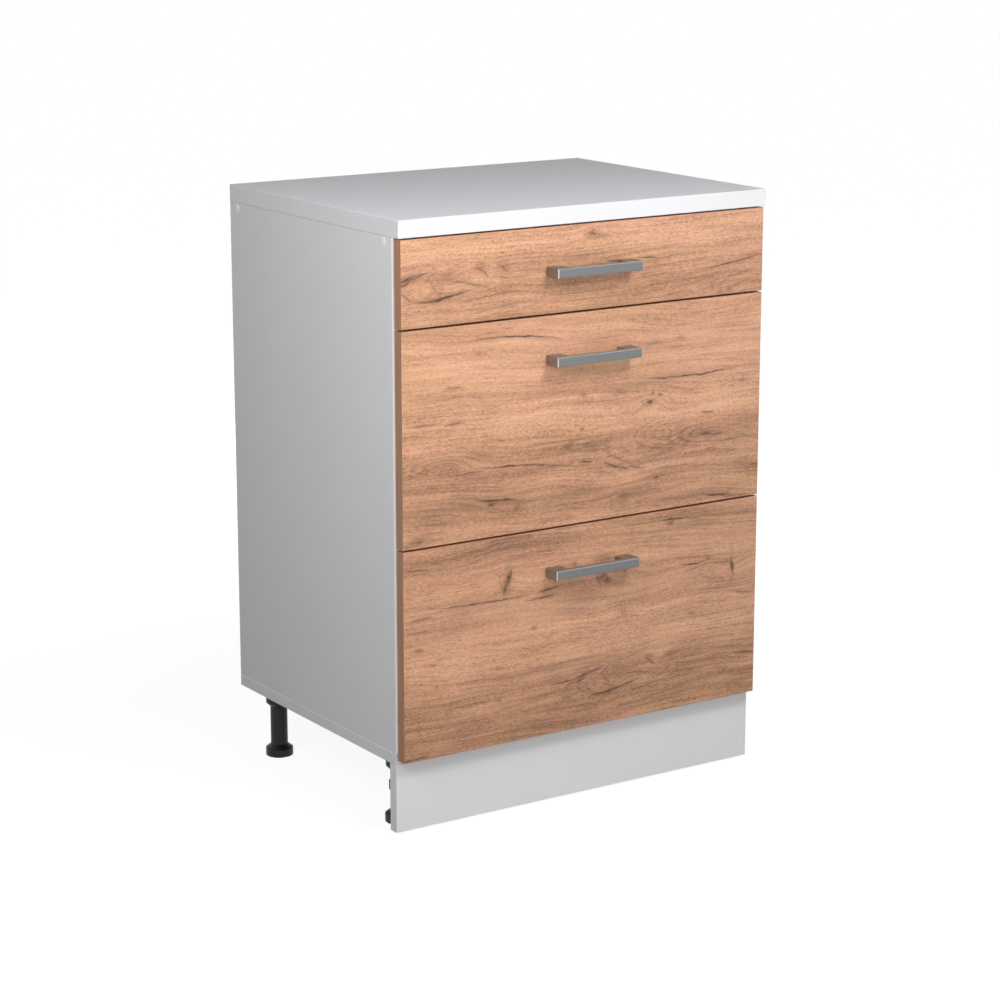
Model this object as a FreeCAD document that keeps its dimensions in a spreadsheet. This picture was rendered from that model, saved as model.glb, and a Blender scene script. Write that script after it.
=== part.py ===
import FreeCAD, Part
import os
from types import SimpleNamespace

import Sketcher

# Base cabinet, 600 mm wide, with a worktop, three drawers on ball runners, a plinth board and
# four adjustable legs.
#
# Frame: millimetres, +Z up, fronts facing -Y, +X to the right as seen from the front. The origin
# is on the floor, under the middle of the cabinet's bounding box (handles included).

doc = FreeCAD.newDocument("base_cabinet")

# Driving dimensions: alias -> (value in mm, meaning). Counts and angles stay in the code below.
DIMENSIONS = {
    # whole cabinet
    "cabinet_width": (600, "outside width of carcass, worktop and plinth"),
    "overall_height": (840, "floor to worktop surface"),
    "carcass_depth": (440, "side panel, front edge to rear edge"),
    "leg_height": (100, "floor to underside of the bottom panel"),
    "worktop_thick": (24, "worktop board"),
    "worktop_lip": (18.5, "worktop ahead of the carcass front edges"),
    "board_thick": (16, "laminated board of carcass, plinth and drawer boxes"),
    "rail_width": (100, "top rails, front to back"),
    "edge_round": (0.8, "rounding of the visible long edges"),
    # back panel and its grooves
    "hdf_thick": (3, "fibreboard of back panel and drawer bottoms"),
    "groove_width": (3.2, "groove for the fibreboard"),
    "groove_depth": (8, "groove for the fibreboard"),
    "groove_inset": (10, "rear edge of a side panel to the groove"),
    "hdf_play": (0.5, "fibreboard short of the groove's bottom, each side"),
    # fronts
    "front_thick": (16, "drawer front board"),
    "front_standoff": (2, "bumper gap between carcass and fronts"),
    "side_reveal": (2.5, "front short of the carcass, each side"),
    "front_gap": (2.5, "gap between two fronts"),
    "top_reveal": (2, "gap under the worktop"),
    "low_front_tall": (117, "top drawer front"),
    "tall_front_tall": (292.5, "middle and bottom drawer fronts"),
    # handles
    "handle_length": (139.5, "outside length"),
    "handle_reach": (28, "front face of the drawer to front face of the handle"),
    "handle_tall": (13, "height of the bar"),
    "handle_bar": (8, "thickness of the bar, front to back"),
    "handle_post": (23, "width of a post at the drawer front"),
    "handle_bevel": (1.2, "bevel round the handle's front face"),
    "handle_drop": (59.5, "front's top edge to the handle's middle"),
    "handle_holes": (128, "distance between the two handle screws"),
    # drawer boxes
    "box_length": (400, "drawer box, front to back"),
    "box_lift": (16, "front's lower edge to the box's lower edge"),
    "low_box_tall": (80, "top drawer box"),
    "tall_box_tall": (180, "middle and bottom drawer boxes"),
    "bottom_rise": (10, "box's lower edge to the bottom's groove"),
    # ball runners
    "runner_thick": (12.7, "side panel to drawer box"),
    "runner_length": (400, "outer and inner member"),
    "middle_length": (380, "middle member"),
    "runner_setback": (2, "outer member behind the carcass front edges"),
    "middle_setback": (6, "middle member behind the carcass front edges"),
    "runner_rise": (40, "box's lower edge to the runner's middle"),
    "runner_steel": (1.2, "sheet thickness of the members"),
    "outer_half": (22.5, "half height of the outer member"),
    "outer_reach": (9.8, "depth of the outer member"),
    "middle_start": (3, "side panel to the middle member's web"),
    "middle_half": (17.4, "half height of the middle member"),
    "middle_reach": (10.4, "side panel to the middle member's lips"),
    "inner_half": (12.3, "half height of the inner member"),
    "inner_start": (5.4, "side panel to the inner member's lips"),
    "runner_lip": (1, "turned-in lip of the outer member"),
    # legs
    "leg_inset": (35, "leg axis to the side panel's outer face"),
    "leg_setback": (50, "leg axis to the carcass front or rear edge"),
    "leg_plate": (58, "side of the square mounting plate"),
    "leg_plate_thick": (3, "mounting plate"),
    "leg_plate_round": (6, "corner radius of the mounting plate"),
    "leg_screw_offset": (22, "leg axis to a plate screw, along X and along Y"),
    "socket_radius": (18.5, "socket under the plate"),
    "socket_low": (81, "floor to the socket's full radius"),
    "socket_shoulder": (3.5, "height of the shoulder under the socket"),
    "socket_cone": (6, "height from the socket down to the plain tube"),
    "shoulder_step": (2.5, "shoulder radius over tube radius"),
    "tube_radius": (12.5, "leg tube"),
    "tube_low": (17.3, "floor to the tube's lower end"),
    "bore_radius": (5.05, "bore in the tube for the foot's spindle"),
    "bore_top": (52, "floor to the bore's end"),
    "foot_radius": (20, "levelling foot"),
    "foot_rim": (11.5, "height of the foot's straight rim"),
    "foot_top": (17, "height of the foot's cone"),
    "foot_bevel": (0.8, "bevel round the foot's lower edge"),
    "foot_cone_step": (0.5, "cone's upper radius over tube radius"),
    "slot_width": (2, "grip slot in the foot's lower edge"),
    "slot_tall": (2.5, "grip slot in the foot's lower edge"),
    "slot_reach": (5, "grip slot, inwards from the rim"),
    "spindle_radius": (5, "foot's spindle"),
    "spindle_top": (50, "floor to the spindle's end"),
    # plinth
    "plinth_tall": (96, "plinth board"),
    "clip_low": (46.5, "floor to the clip's ring"),
    "clip_tall": (12, "height of the clip's ring"),
    "clip_radius": (14.2, "outside of the clip's ring"),
    "clip_bore": (12.6, "inside of the clip's ring"),
    "clip_plate_width": (30, "clip's plate on the plinth board"),
    "clip_plate_tall": (26, "clip's plate on the plinth board"),
    "clip_plate_thick": (3, "clip's plate on the plinth board"),
    "clip_arm_width": (10, "arm from the plate to the ring"),
    "clip_mouth": (16, "opening of the ring"),
    "clip_screw_offset": (10, "leg axis to a screw of the clip's plate"),
    # connecting screws
    "confirmat_length": (50, "connecting screw, with its head"),
    "confirmat_radius": (3.5, "shank of a connecting screw"),
    "confirmat_head": (4.75, "head radius of a connecting screw"),
    "confirmat_sink": (3.5, "head height of a connecting screw"),
    "rail_screw_front": (20.5, "carcass front edge to the front rail's screw"),
    "rail_screw_rear": (20, "carcass rear edge to the rear rail's screw"),
    "bottom_screw_inset": (100, "carcass edges to the bottom panel's screws"),
    "cap_radius": (6.5, "screw cover cap"),
    "cap_thick": (1.5, "screw cover cap, proud of the side panel"),
    "cap_round": (1.1, "rounding of the cap's rim"),
    # small screws
    "screw_radius": (1.75, "shank of a small screw"),
    "screw_head": (3.5, "head radius of a small screw"),
    "screw_head_thick": (1.5, "head of a small screw"),
    "screw_bite": (11, "small screw's length in the board"),
    "worktop_screw_radius": (2, "shank of a worktop screw"),
    "worktop_screw_head": (4, "head radius of a worktop screw"),
    "worktop_screw_head_thick": (2.5, "head of a worktop screw"),
    "worktop_screw_length": (30, "worktop screw under its head"),
    "handle_screw_radius": (1.95, "shank of a handle screw"),
    "handle_screw_head": (4, "head radius of a handle screw"),
    "handle_screw_head_thick": (2.4, "head of a handle screw"),
    "handle_screw_length": (25, "handle screw under its head"),
    "hole_play": (0.05, "hole radius over screw radius"),
    # cam connectors of the fronts
    "cam_radius": (7.5, "cam"),
    "cam_thick": (12.5, "cam"),
    "cam_inset": (34, "box side's front edge to the cam's axis"),
    "bolt_radius": (3, "cam bolt"),
    "bolt_bite": (11, "cam bolt's length in the front"),
}

sheet = doc.addObject("Spreadsheet::Sheet", "Sizes")
for row, (alias, (value, meaning)) in enumerate(DIMENSIONS.items(), start=1):
    sheet.set(f"A{row}", alias)
    sheet.set(f"B{row}", str(value))
    sheet.set(f"C{row}", meaning)
    sheet.setAlias(f"B{row}", alias)
doc.recompute()


class Length:
    """A length in mm that also carries the sheet formula it comes from."""

    def __init__(self, value, formula):
        self.value = float(value)
        self.formula = formula

    def __add__(self, other):
        other = length(other)
        return Length(self.value + other.value, f"({self.formula} + {other.formula})")

    def __sub__(self, other):
        other = length(other)
        return Length(self.value - other.value, f"({self.formula} - {other.formula})")

    def __rsub__(self, other):
        return length(other) - self

    def __mul__(self, factor):
        return Length(self.value * factor, f"({self.formula} * {factor})")

    def __truediv__(self, divisor):
        return Length(self.value / divisor, f"({self.formula} / {divisor})")

    def __neg__(self):
        return self * -1

    __radd__ = __add__
    __rmul__ = __mul__


def length(value):
    return value if isinstance(value, Length) else Length(value, f"({value})")


s = SimpleNamespace(**{alias: Length(sheet.get(alias), f"Sizes.{alias}") for alias in DIMENSIONS})

# Planes that most pieces are placed from.
half_width = s.cabinet_width / 2
inner_half = half_width - s.board_thick
front_line = (s.front_standoff + s.front_thick + s.handle_reach - s.carcass_depth) / 2
rear_line = front_line + s.carcass_depth
face_line = front_line - s.front_standoff - s.front_thick
box_front = front_line - s.front_standoff
carcass_floor = s.leg_height + s.board_thick
carcass_top = s.overall_height - s.worktop_thick
rail_under = carcass_top - s.board_thick
side_tall = carcass_top - carcass_floor
box_half = inner_half - s.runner_thick
box_inner_half = box_half - s.board_thick
groove_front = s.carcass_depth - s.groove_inset - s.groove_width

SIDES = {"left": -1, "right": 1}
ENDS = ("front", "rear")


def drawer_row(name, front_top, front_tall, box_tall):
    """The heights of one drawer: its front, its box and its runners."""
    front_low = front_top - front_tall
    box_low = front_low + s.box_lift
    return SimpleNamespace(
        name=name, front_top=front_top, front_low=front_low, front_tall=front_tall,
        box_low=box_low, box_tall=box_tall, runner_mid=box_low + s.runner_rise,
    )


top_drawer = drawer_row("top", carcass_top - s.top_reveal, s.low_front_tall, s.low_box_tall)
middle_drawer = drawer_row(
    "middle", top_drawer.front_low - s.front_gap, s.tall_front_tall, s.tall_box_tall)
bottom_drawer = drawer_row(
    "bottom", middle_drawer.front_low - s.front_gap, s.tall_front_tall, s.tall_box_tall)
DRAWERS = (top_drawer, middle_drawer, bottom_drawer)

# Screw places along a runner, from the outer member's front end, and along a drawer box side.
RUNNER_SCREWS = (35, 165, 355)
BOX_SCREW_LOW = 22
BOX_SCREW_DROP = 14
CAM_LOW = 26
CAM_DROP = 22
BOX_BOTTOM_SCREWS = (-200, 0, 200)
WORKTOP_SCREW_INSET = 100

parts = []


# ---- helpers: placing, sketching and features -------------------------------------------------

def bind(thing, prop, value):
    """Sets a property and ties it to the sheet where the value comes from it."""
    if isinstance(value, Length):
        thing.setExpression(prop, value.formula)


def place(thing, x, y, z, rotation=None):
    x, y, z = length(x), length(y), length(z)
    base = FreeCAD.Vector(x.value, y.value, z.value)
    thing.Placement = FreeCAD.Placement(base, rotation or FreeCAD.Rotation())
    for axis, value in zip("xyz", (x, y, z)):
        bind(thing, f"Placement.Base.{axis}", value)


def new_body(label, x, y, z):
    body = doc.addObject("PartDesign::Body", label)
    body.Label = label
    place(body, x, y, z)
    parts.append(body)
    return body


# For each origin plane: the model axis of its normal and the sense of that normal along it.
PLANES = {"XY_Plane": ("Z", 1), "XZ_Plane": ("Y", -1), "YZ_Plane": ("X", 1)}


def new_sketch(body, name, role, level=0):
    """A sketch on a plane of the body's origin, moved along the plane's model axis to level."""
    sketch = body.newObject("Sketcher::SketchObject", f"{body.Name}_{name}")
    plane = next(item for item in body.Origin.OriginFeatures if item.Role == role)
    sketch.AttachmentSupport = [(plane, "")]
    sketch.MapMode = "FlatFace"
    offset = length(level) * PLANES[role][1]
    sketch.AttachmentOffset = FreeCAD.Placement(FreeCAD.Vector(0, 0, offset.value), FreeCAD.Rotation())
    bind(sketch, "AttachmentOffset.Base.z", offset)
    return sketch


def constrain(sketch, *definition):
    """Adds one dimension to a sketch; the last item is its value."""
    *reference, value = definition
    value = length(value)
    index = sketch.addConstraint(Sketcher.Constraint(*reference, value.value))
    bind(sketch, f"Constraints[{index}]", value)


def add_polygon(sketch, corners):
    """A closed outline whose corners are all dimensioned from the sketch's origin."""
    first = sketch.GeometryCount
    count = len(corners)
    corners = [(length(u), length(v)) for u, v in corners]
    points = [FreeCAD.Vector(u.value, v.value, 0) for u, v in corners]
    for number in range(count):
        sketch.addGeometry(Part.LineSegment(points[number], points[(number + 1) % count]), False)
    for number in range(count):
        following = first + (number + 1) % count
        sketch.addConstraint(Sketcher.Constraint("Coincident", first + number, 2, following, 1))
    for number, (u, v) in enumerate(corners):
        constrain(sketch, "DistanceX", -1, 1, first + number, 1, u)
        constrain(sketch, "DistanceY", -1, 1, first + number, 1, v)


def add_rectangle(sketch, u, v, width, tall):
    add_polygon(sketch, [(u, v), (u + width, v), (u + width, v + tall), (u, v + tall)])


def add_disc(sketch, u, v, radius):
    number = sketch.GeometryCount
    u, v, radius = length(u), length(v), length(radius)
    centre = FreeCAD.Vector(u.value, v.value, 0)
    sketch.addGeometry(Part.Circle(centre, FreeCAD.Vector(0, 0, 1), radius.value), False)
    constrain(sketch, "Radius", number, radius)
    constrain(sketch, "DistanceX", -1, 1, number, 3, u)
    constrain(sketch, "DistanceY", -1, 1, number, 3, v)


def along_normal(sketch, towards):
    """True where the direction towards, such as "+Y", is the one in which the sketch's normal points."""
    role = sketch.AttachmentSupport[0][0].Role
    axis, sense = PLANES[role]
    if towards[1] != axis:
        raise ValueError(f"{sketch.Name}: {towards} isn't square to {role}")
    return (towards[0] == "+") == (sense > 0)


def new_pad(body, name, sketch, size, towards):
    pad = body.newObject("PartDesign::Pad", f"{body.Name}_{name}")
    pad.Profile = sketch
    pad.Length = length(size).value
    bind(pad, "Length", length(size))
    pad.Reversed = not along_normal(sketch, towards)
    return pad


def new_pocket(body, name, sketch, depth, towards):
    pocket = body.newObject("PartDesign::Pocket", f"{body.Name}_{name}")
    pocket.Profile = sketch
    pocket.Length = length(depth).value
    bind(pocket, "Length", length(depth))
    pocket.Reversed = along_normal(sketch, towards)
    return pocket


def new_revolution(body, name, sketch):
    turn = body.newObject("PartDesign::Revolution", f"{body.Name}_{name}")
    turn.Profile = sketch
    turn.ReferenceAxis = (sketch, ["V_Axis"])
    turn.Angle = 360
    return turn


def drill(body, name, role, level, towards, depth, radius, places):
    """One pocket of round holes of one size, at the places (u, v) of a plane of the body."""
    sketch = new_sketch(body, f"{name}_places", role, level)
    for u, v in places:
        add_disc(sketch, u, v, radius)
    return new_pocket(body, name, sketch, depth, towards)


def board(label, low, span):
    """A rectangular board, built from its lowest corner."""
    body = new_body(label, *low)
    outline = new_sketch(body, "outline", "XY_Plane")
    add_rectangle(outline, 0, 0, span[0], span[1])
    new_pad(body, "board", outline, span[2], "+Z")
    return body


def edge_names(shape, wanted):
    """The names of the shape's open edges whose two ends satisfy wanted."""
    return [
        f"Edge{number}"
        for number, edge in enumerate(shape.Edges, start=1)
        if len(edge.Vertexes) == 2 and wanted(*(vertex.Point for vertex in edge.Vertexes))
    ]


def ends(test):
    """An edge test that asks the same of both ends."""
    return lambda start, end: test(start) and test(end)


def round_edges(body, name, kind, size, wanted):
    """A PartDesign fillet or chamfer on the edges picked by wanted, after the body's last feature."""
    base = body.Tip
    base.recompute(True)
    edges = edge_names(base.Shape, wanted)
    if not edges:
        raise ValueError(f"{body.Label}: no edge for {name}")
    feature = body.newObject(f"PartDesign::{kind}", f"{body.Name}_{name}")
    feature.Base = (base, edges)
    prop = "Radius" if kind == "Fillet" else "Size"
    setattr(feature, prop, size.value)
    bind(feature, prop, size)
    return feature


def near(value, target):
    return abs(value - length(target).value) < 0.01


# ---- helpers: screws and other turned pieces --------------------------------------------------

DIRECTIONS = {
    "+X": FreeCAD.Vector(1, 0, 0), "-X": FreeCAD.Vector(-1, 0, 0),
    "+Y": FreeCAD.Vector(0, 1, 0), "-Y": FreeCAD.Vector(0, -1, 0),
    "+Z": FreeCAD.Vector(0, 0, 1), "-Z": FreeCAD.Vector(0, 0, -1),
}


def rod(name, at, direction, radius, size):
    """A plain cylinder that starts at a point and runs along a direction."""
    cylinder = doc.addObject("Part::Cylinder", name)
    cylinder.Radius = length(radius).value
    cylinder.Height = length(size).value
    bind(cylinder, "Radius", length(radius))
    bind(cylinder, "Height", length(size))
    place(cylinder, *at, FreeCAD.Rotation(DIRECTIONS["+Z"], DIRECTIONS[direction]))
    return cylinder


def fused(name, pieces):
    union = doc.addObject("Part::MultiFuse", name)
    union.Shapes = pieces
    union.Refine = True
    return union


def pan_screw(name, seat, direction, kind):
    """A screw whose head rests on the seat and whose shank runs along the direction."""
    back = direction.translate(str.maketrans("+-", "-+"))
    shank = rod(f"{name}_shank", seat, direction, kind.radius, kind.size)
    head = rod(f"{name}_head", seat, back, kind.head, kind.head_thick)
    return fused(name, [shank, head])


def sunk_screw(name, seat, direction):
    """A connecting screw: its head is flush with the face that it enters, at the seat."""
    head = rod(f"{name}_head", seat, direction, s.confirmat_head, s.confirmat_sink)
    shank = rod(f"{name}_shank", seat, direction, s.confirmat_radius, s.confirmat_length)
    return fused(name, [shank, head])


SMALL_SCREW = SimpleNamespace(
    radius=s.screw_radius, size=s.screw_bite, head=s.screw_head, head_thick=s.screw_head_thick)
RUNNER_SCREW = SimpleNamespace(
    radius=s.screw_radius, size=s.screw_bite + s.runner_steel, head=s.screw_head,
    head_thick=s.screw_head_thick)
LEG_SCREW = SimpleNamespace(
    radius=s.screw_radius, size=s.screw_bite + s.leg_plate_thick, head=s.screw_head,
    head_thick=s.screw_head_thick)
WORKTOP_SCREW = SimpleNamespace(
    radius=s.worktop_screw_radius, size=s.worktop_screw_length, head=s.worktop_screw_head,
    head_thick=s.worktop_screw_head_thick)
HANDLE_SCREW = SimpleNamespace(
    radius=s.handle_screw_radius, size=s.handle_screw_length, head=s.handle_screw_head,
    head_thick=s.handle_screw_head_thick)


def group(label, pieces):
    """One node that holds several separate solids."""
    compound = doc.addObject("Part::Compound", label)
    compound.Label = label
    compound.Links = pieces
    parts.append(compound)
    return compound


# ---- carcass ----------------------------------------------------------------------------------

screw_hole = s.screw_radius + s.hole_play
confirmat_hole = s.confirmat_radius + s.hole_play
confirmat_recess = s.confirmat_head + s.hole_play
worktop_screw_hole = s.worktop_screw_radius + s.hole_play
blind_hole = s.screw_bite + 1

rail_screw_places = (s.rail_screw_front, s.carcass_depth - s.rail_screw_rear)
bottom_screw_places = (s.bottom_screw_inset, s.carcass_depth - s.bottom_screw_inset)
rail_screw_height = side_tall - s.board_thick / 2
confirmat_bite = s.confirmat_length - s.board_thick + 1
runner_screw_places = [s.runner_setback + along for along in RUNNER_SCREWS]
worktop_screw_places = (WORKTOP_SCREW_INSET - half_width, half_width - WORKTOP_SCREW_INSET)


def side_panel(side):
    """A side panel: back groove, holes for the rails' and bottom's screws and for three runners."""
    sense = SIDES[side]
    left = side == "left"
    corner_x = half_width * -1 if left else inner_half
    body = board(f"side_panel_{side}", (corner_x, front_line, carcass_floor),
                 (s.board_thick, s.carcass_depth, side_tall))
    outer_x, inner_x = (0, s.board_thick) if left else (s.board_thick, 0)
    inwards = "-X" if sense > 0 else "+X"
    outwards = "+X" if sense > 0 else "-X"

    groove = new_sketch(body, "groove_outline", "XY_Plane")
    groove_x = s.board_thick - s.groove_depth if left else 0
    add_rectangle(groove, groove_x, groove_front, s.groove_depth, s.groove_width)
    new_pocket(body, "groove", groove, side_tall, "+Z")

    rail_places = [(y, rail_screw_height) for y in rail_screw_places]
    drill(body, "rail_holes", "YZ_Plane", outer_x, inwards, s.board_thick, confirmat_hole, rail_places)
    drill(body, "rail_recesses", "YZ_Plane", outer_x, inwards, s.confirmat_sink + s.hole_play,
          confirmat_recess, rail_places)
    drill(body, "bottom_holes", "XY_Plane", 0, "+Z", confirmat_bite, confirmat_hole,
          [(s.board_thick / 2, y) for y in bottom_screw_places])
    drill(body, "runner_holes", "YZ_Plane", inner_x, outwards, blind_hole, screw_hole,
          [(y, drawer.runner_mid - carcass_floor) for drawer in DRAWERS for y in runner_screw_places])
    round_edges(body, "front_edges", "Fillet", s.edge_round, ends(lambda point: near(point.y, 0)))


def leg_centres():
    """The four leg axes: name, x and y."""
    for end in ENDS:
        y = front_line + s.leg_setback if end == "front" else rear_line - s.leg_setback
        for side, sense in SIDES.items():
            yield f"{end}_{side}", (half_width - s.leg_inset) * sense, y


def leg_screw_centres(x, y):
    for step_x in (-1, 1):
        for step_y in (-1, 1):
            yield x + s.leg_screw_offset * step_x, y + s.leg_screw_offset * step_y


def bottom_panel():
    """The bottom panel runs under both side panels; the back panel stands in its groove."""
    body = board("bottom_panel", (half_width * -1, front_line, s.leg_height),
                 (s.cabinet_width, s.carcass_depth, s.board_thick))
    groove = new_sketch(body, "groove_outline", "XY_Plane", s.board_thick)
    groove_x = s.board_thick - s.groove_depth
    add_rectangle(groove, groove_x, groove_front, s.cabinet_width - groove_x * 2, s.groove_width)
    new_pocket(body, "groove", groove, s.groove_depth, "-Z")

    side_places = [(x, y) for x in (s.board_thick / 2, s.cabinet_width - s.board_thick / 2)
                   for y in bottom_screw_places]
    drill(body, "side_holes", "XY_Plane", 0, "+Z", s.board_thick, confirmat_hole, side_places)
    drill(body, "side_recesses", "XY_Plane", 0, "+Z", s.confirmat_sink + s.hole_play,
          confirmat_recess, side_places)
    leg_places = [(screw_x + half_width, screw_y - front_line)
                  for _, x, y in leg_centres() for screw_x, screw_y in leg_screw_centres(x, y)]
    drill(body, "leg_holes", "XY_Plane", 0, "+Z", blind_hole, screw_hole, leg_places)
    round_edges(body, "front_edge", "Fillet", s.edge_round,
                ends(lambda point: near(point.y, 0) and near(point.z, 0)))


def top_rail(end):
    """A flat rail under the worktop; the rear one holds the back panel's upper edge in a groove."""
    rear = end == "rear"
    rail_y = rear_line - s.rail_width if rear else front_line
    rail_length = inner_half * 2
    body = board(f"{end}_top_rail", (inner_half * -1, rail_y, rail_under),
                 (rail_length, s.rail_width, s.board_thick))
    screw_y = s.rail_width - s.rail_screw_rear if rear else s.rail_screw_front
    end_place = [(screw_y, s.board_thick / 2)]
    drill(body, "left_hole", "YZ_Plane", 0, "+X", confirmat_bite, confirmat_hole, end_place)
    drill(body, "right_hole", "YZ_Plane", rail_length, "-X", confirmat_bite, confirmat_hole, end_place)
    drill(body, "worktop_holes", "XY_Plane", 0, "+Z", s.board_thick, worktop_screw_hole,
          [(inner_half + x, s.rail_width / 2) for x in worktop_screw_places])
    if rear:
        groove = new_sketch(body, "groove_outline", "XY_Plane")
        groove_y = s.rail_width - s.groove_inset - s.groove_width
        add_rectangle(groove, 0, groove_y, rail_length, s.groove_width)
        new_pocket(body, "groove", groove, s.groove_depth, "+Z")


def worktop():
    worktop_depth = s.carcass_depth + s.worktop_lip
    body = board("worktop", (half_width * -1, front_line - s.worktop_lip, carcass_top),
                 (s.cabinet_width, worktop_depth, s.worktop_thick))
    rail_middles = (s.rail_width / 2, s.carcass_depth - s.rail_width / 2)
    drill(body, "rail_holes", "XY_Plane", 0, "+Z", s.worktop_screw_length - s.board_thick + 1,
          worktop_screw_hole,
          [(half_width + x, s.worktop_lip + y) for x in worktop_screw_places for y in rail_middles])

    def front_or_top(point):
        on_side = near(point.x, 0) or near(point.x, s.cabinet_width)
        return near(point.z, s.worktop_thick) or (near(point.y, 0) and on_side)

    round_edges(body, "visible_edges", "Fillet", s.edge_round, ends(front_or_top))


def back_panel():
    """Fibreboard in the grooves of the side panels, the bottom panel and the rear rail."""
    half = inner_half + s.groove_depth - s.hdf_play
    low = carcass_floor - s.groove_depth + s.hdf_play
    tall = rail_under + s.groove_depth - s.hdf_play - low
    play = (s.groove_width - s.hdf_thick) / 2
    board("back_panel", (half * -1, front_line + groove_front + play, low), (half * 2, s.hdf_thick, tall))


# ---- legs and plinth --------------------------------------------------------------------------

def leg_column(label, x, y):
    """The fixed part of a leg: plate, socket and tube, with a bore for the foot's spindle."""
    body = new_body(label, x, y, 0)
    profile = new_sketch(body, "profile", "XZ_Plane")
    plate_under = s.leg_height - s.leg_plate_thick
    add_polygon(profile, [
        (s.bore_radius, s.tube_low), (s.tube_radius, s.tube_low),
        (s.tube_radius, s.socket_low - s.socket_cone),
        (s.tube_radius + s.shoulder_step, s.socket_low - s.socket_shoulder),
        (s.socket_radius, s.socket_low), (s.socket_radius, plate_under),
        (0, plate_under), (0, s.bore_top), (s.bore_radius, s.bore_top),
    ])
    new_revolution(body, "turned", profile)
    outline = new_sketch(body, "plate_outline", "XY_Plane", plate_under)
    half = s.leg_plate / 2
    add_rectangle(outline, half * -1, half * -1, s.leg_plate, s.leg_plate)
    new_pad(body, "plate", outline, s.leg_plate_thick, "+Z")
    drill(body, "screw_holes", "XY_Plane", plate_under, "+Z", s.leg_plate_thick, screw_hole,
          list(leg_screw_centres(length(0), length(0))))

    def upright_corner(start, end):
        upright = near(start.x, end.x) and near(start.y, end.y)
        return upright and near(abs(start.x), half) and near(abs(start.y), half)

    round_edges(body, "plate_corners", "Fillet", s.leg_plate_round, upright_corner)


FOOT_SLOTS = 6
FOOT_SLOT_TURN = 27     # degrees from +X to the first slot


def leg_foot(label, x, y):
    """The levelling foot: a slotted disc with a cone and a spindle that turns in the tube."""
    body = new_body(label, x, y, 0)
    profile = new_sketch(body, "profile", "XZ_Plane")
    cone_top = s.tube_radius + s.foot_cone_step
    add_polygon(profile, [
        (0, 0), (s.foot_radius - s.foot_bevel, 0), (s.foot_radius, s.foot_bevel),
        (s.foot_radius, s.foot_rim), (cone_top, s.foot_top), (s.spindle_radius, s.foot_top),
        (s.spindle_radius, s.spindle_top), (0, s.spindle_top),
    ])
    new_revolution(body, "turned", profile)
    slot_outline = new_sketch(body, "slot_outline", "XY_Plane")
    slot_outline.AttachmentOffset = FreeCAD.Placement(
        FreeCAD.Vector(0, 0, 0), FreeCAD.Rotation(DIRECTIONS["+Z"], FOOT_SLOT_TURN))
    add_rectangle(slot_outline, s.foot_radius - s.slot_reach, s.slot_width / -2, s.slot_reach * 2,
                  s.slot_width)
    slot = new_pocket(body, "slot", slot_outline, s.slot_tall, "+Z")
    pattern = body.newObject("PartDesign::PolarPattern", f"{body.Name}_slots")
    pattern.Originals = [slot]
    pattern.Axis = (slot_outline, ["N_Axis"])
    pattern.Angle = 360
    pattern.Occurrences = FOOT_SLOTS
    body.Tip = pattern


plinth_back = front_line + s.board_thick
clip_middle = s.clip_low + s.clip_tall / 2


def box(name, low, span):
    block = doc.addObject("Part::Box", name)
    for prop, value in zip(("Length", "Width", "Height"), span):
        setattr(block, prop, length(value).value)
        bind(block, prop, length(value))
    place(block, *low)
    return block


def cut_from(name, base, tool):
    rest = doc.addObject("Part::Cut", name)
    rest.Base = base
    rest.Tool = tool
    return rest


def plinth_clip(name, x, y):
    """A plate on the plinth's back, an arm, and an open ring snapped round the leg's tube."""
    ring_out = rod(f"{name}_ring_outside", (x, y, s.clip_low), "+Z", s.clip_radius, s.clip_tall)
    arm_length = y - plinth_back - s.clip_bore - 0.5
    arm = box(f"{name}_arm", (x - s.clip_arm_width / 2, plinth_back, s.clip_low),
              (s.clip_arm_width, arm_length, s.clip_tall))
    plate_low = clip_middle - s.clip_plate_tall / 2
    plate = box(f"{name}_plate", (x - s.clip_plate_width / 2, plinth_back, plate_low),
                (s.clip_plate_width, s.clip_plate_thick, s.clip_plate_tall))
    whole = fused(f"{name}_whole", [ring_out, arm, plate])
    ring_in = rod(f"{name}_ring_inside", (x, y, s.clip_low), "+Z", s.clip_bore, s.clip_tall)
    mouth = box(f"{name}_mouth", (x - s.clip_mouth / 2, y, s.clip_low),
                (s.clip_mouth, s.clip_radius + 1, s.clip_tall))
    screw_holes = [rod(f"{name}_hole_{step}", (x + s.clip_screw_offset * step, plinth_back, clip_middle),
                       "+Y", screw_hole, s.clip_plate_thick) for step in (-1, 1)]
    openings = fused(f"{name}_openings", [ring_in, mouth, *screw_holes])
    return cut_from(name, whole, openings)


def clip_screw_centres():
    """Where the clips' screws enter the back of the plinth board: x and z."""
    for label, x, _ in leg_centres():
        if label.startswith("front"):
            for step in (-1, 1):
                yield x + s.clip_screw_offset * step, clip_middle


def plinth():
    body = board("plinth_board", (half_width * -1, front_line, s.leg_height - s.plinth_tall),
                 (s.cabinet_width, s.board_thick, s.plinth_tall))
    drill(body, "clip_holes", "XZ_Plane", s.board_thick, "-Y", blind_hole, screw_hole,
          [(x + half_width, z - s.leg_height + s.plinth_tall) for x, z in clip_screw_centres()])
    round_edges(body, "front_edges", "Fillet", s.edge_round, ends(lambda point: near(point.y, 0)))
    group("plinth_clips", [plinth_clip(f"clip_{label}", x, y) for label, x, y in leg_centres()
                           if label.startswith("front")])


# ---- drawers ----------------------------------------------------------------------------------

cam_hole = s.cam_radius + s.hole_play
bolt_hole = s.bolt_radius + s.hole_play
handle_screw_hole = s.handle_screw_radius + s.hole_play
box_side_middle = box_half - s.board_thick / 2


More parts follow.
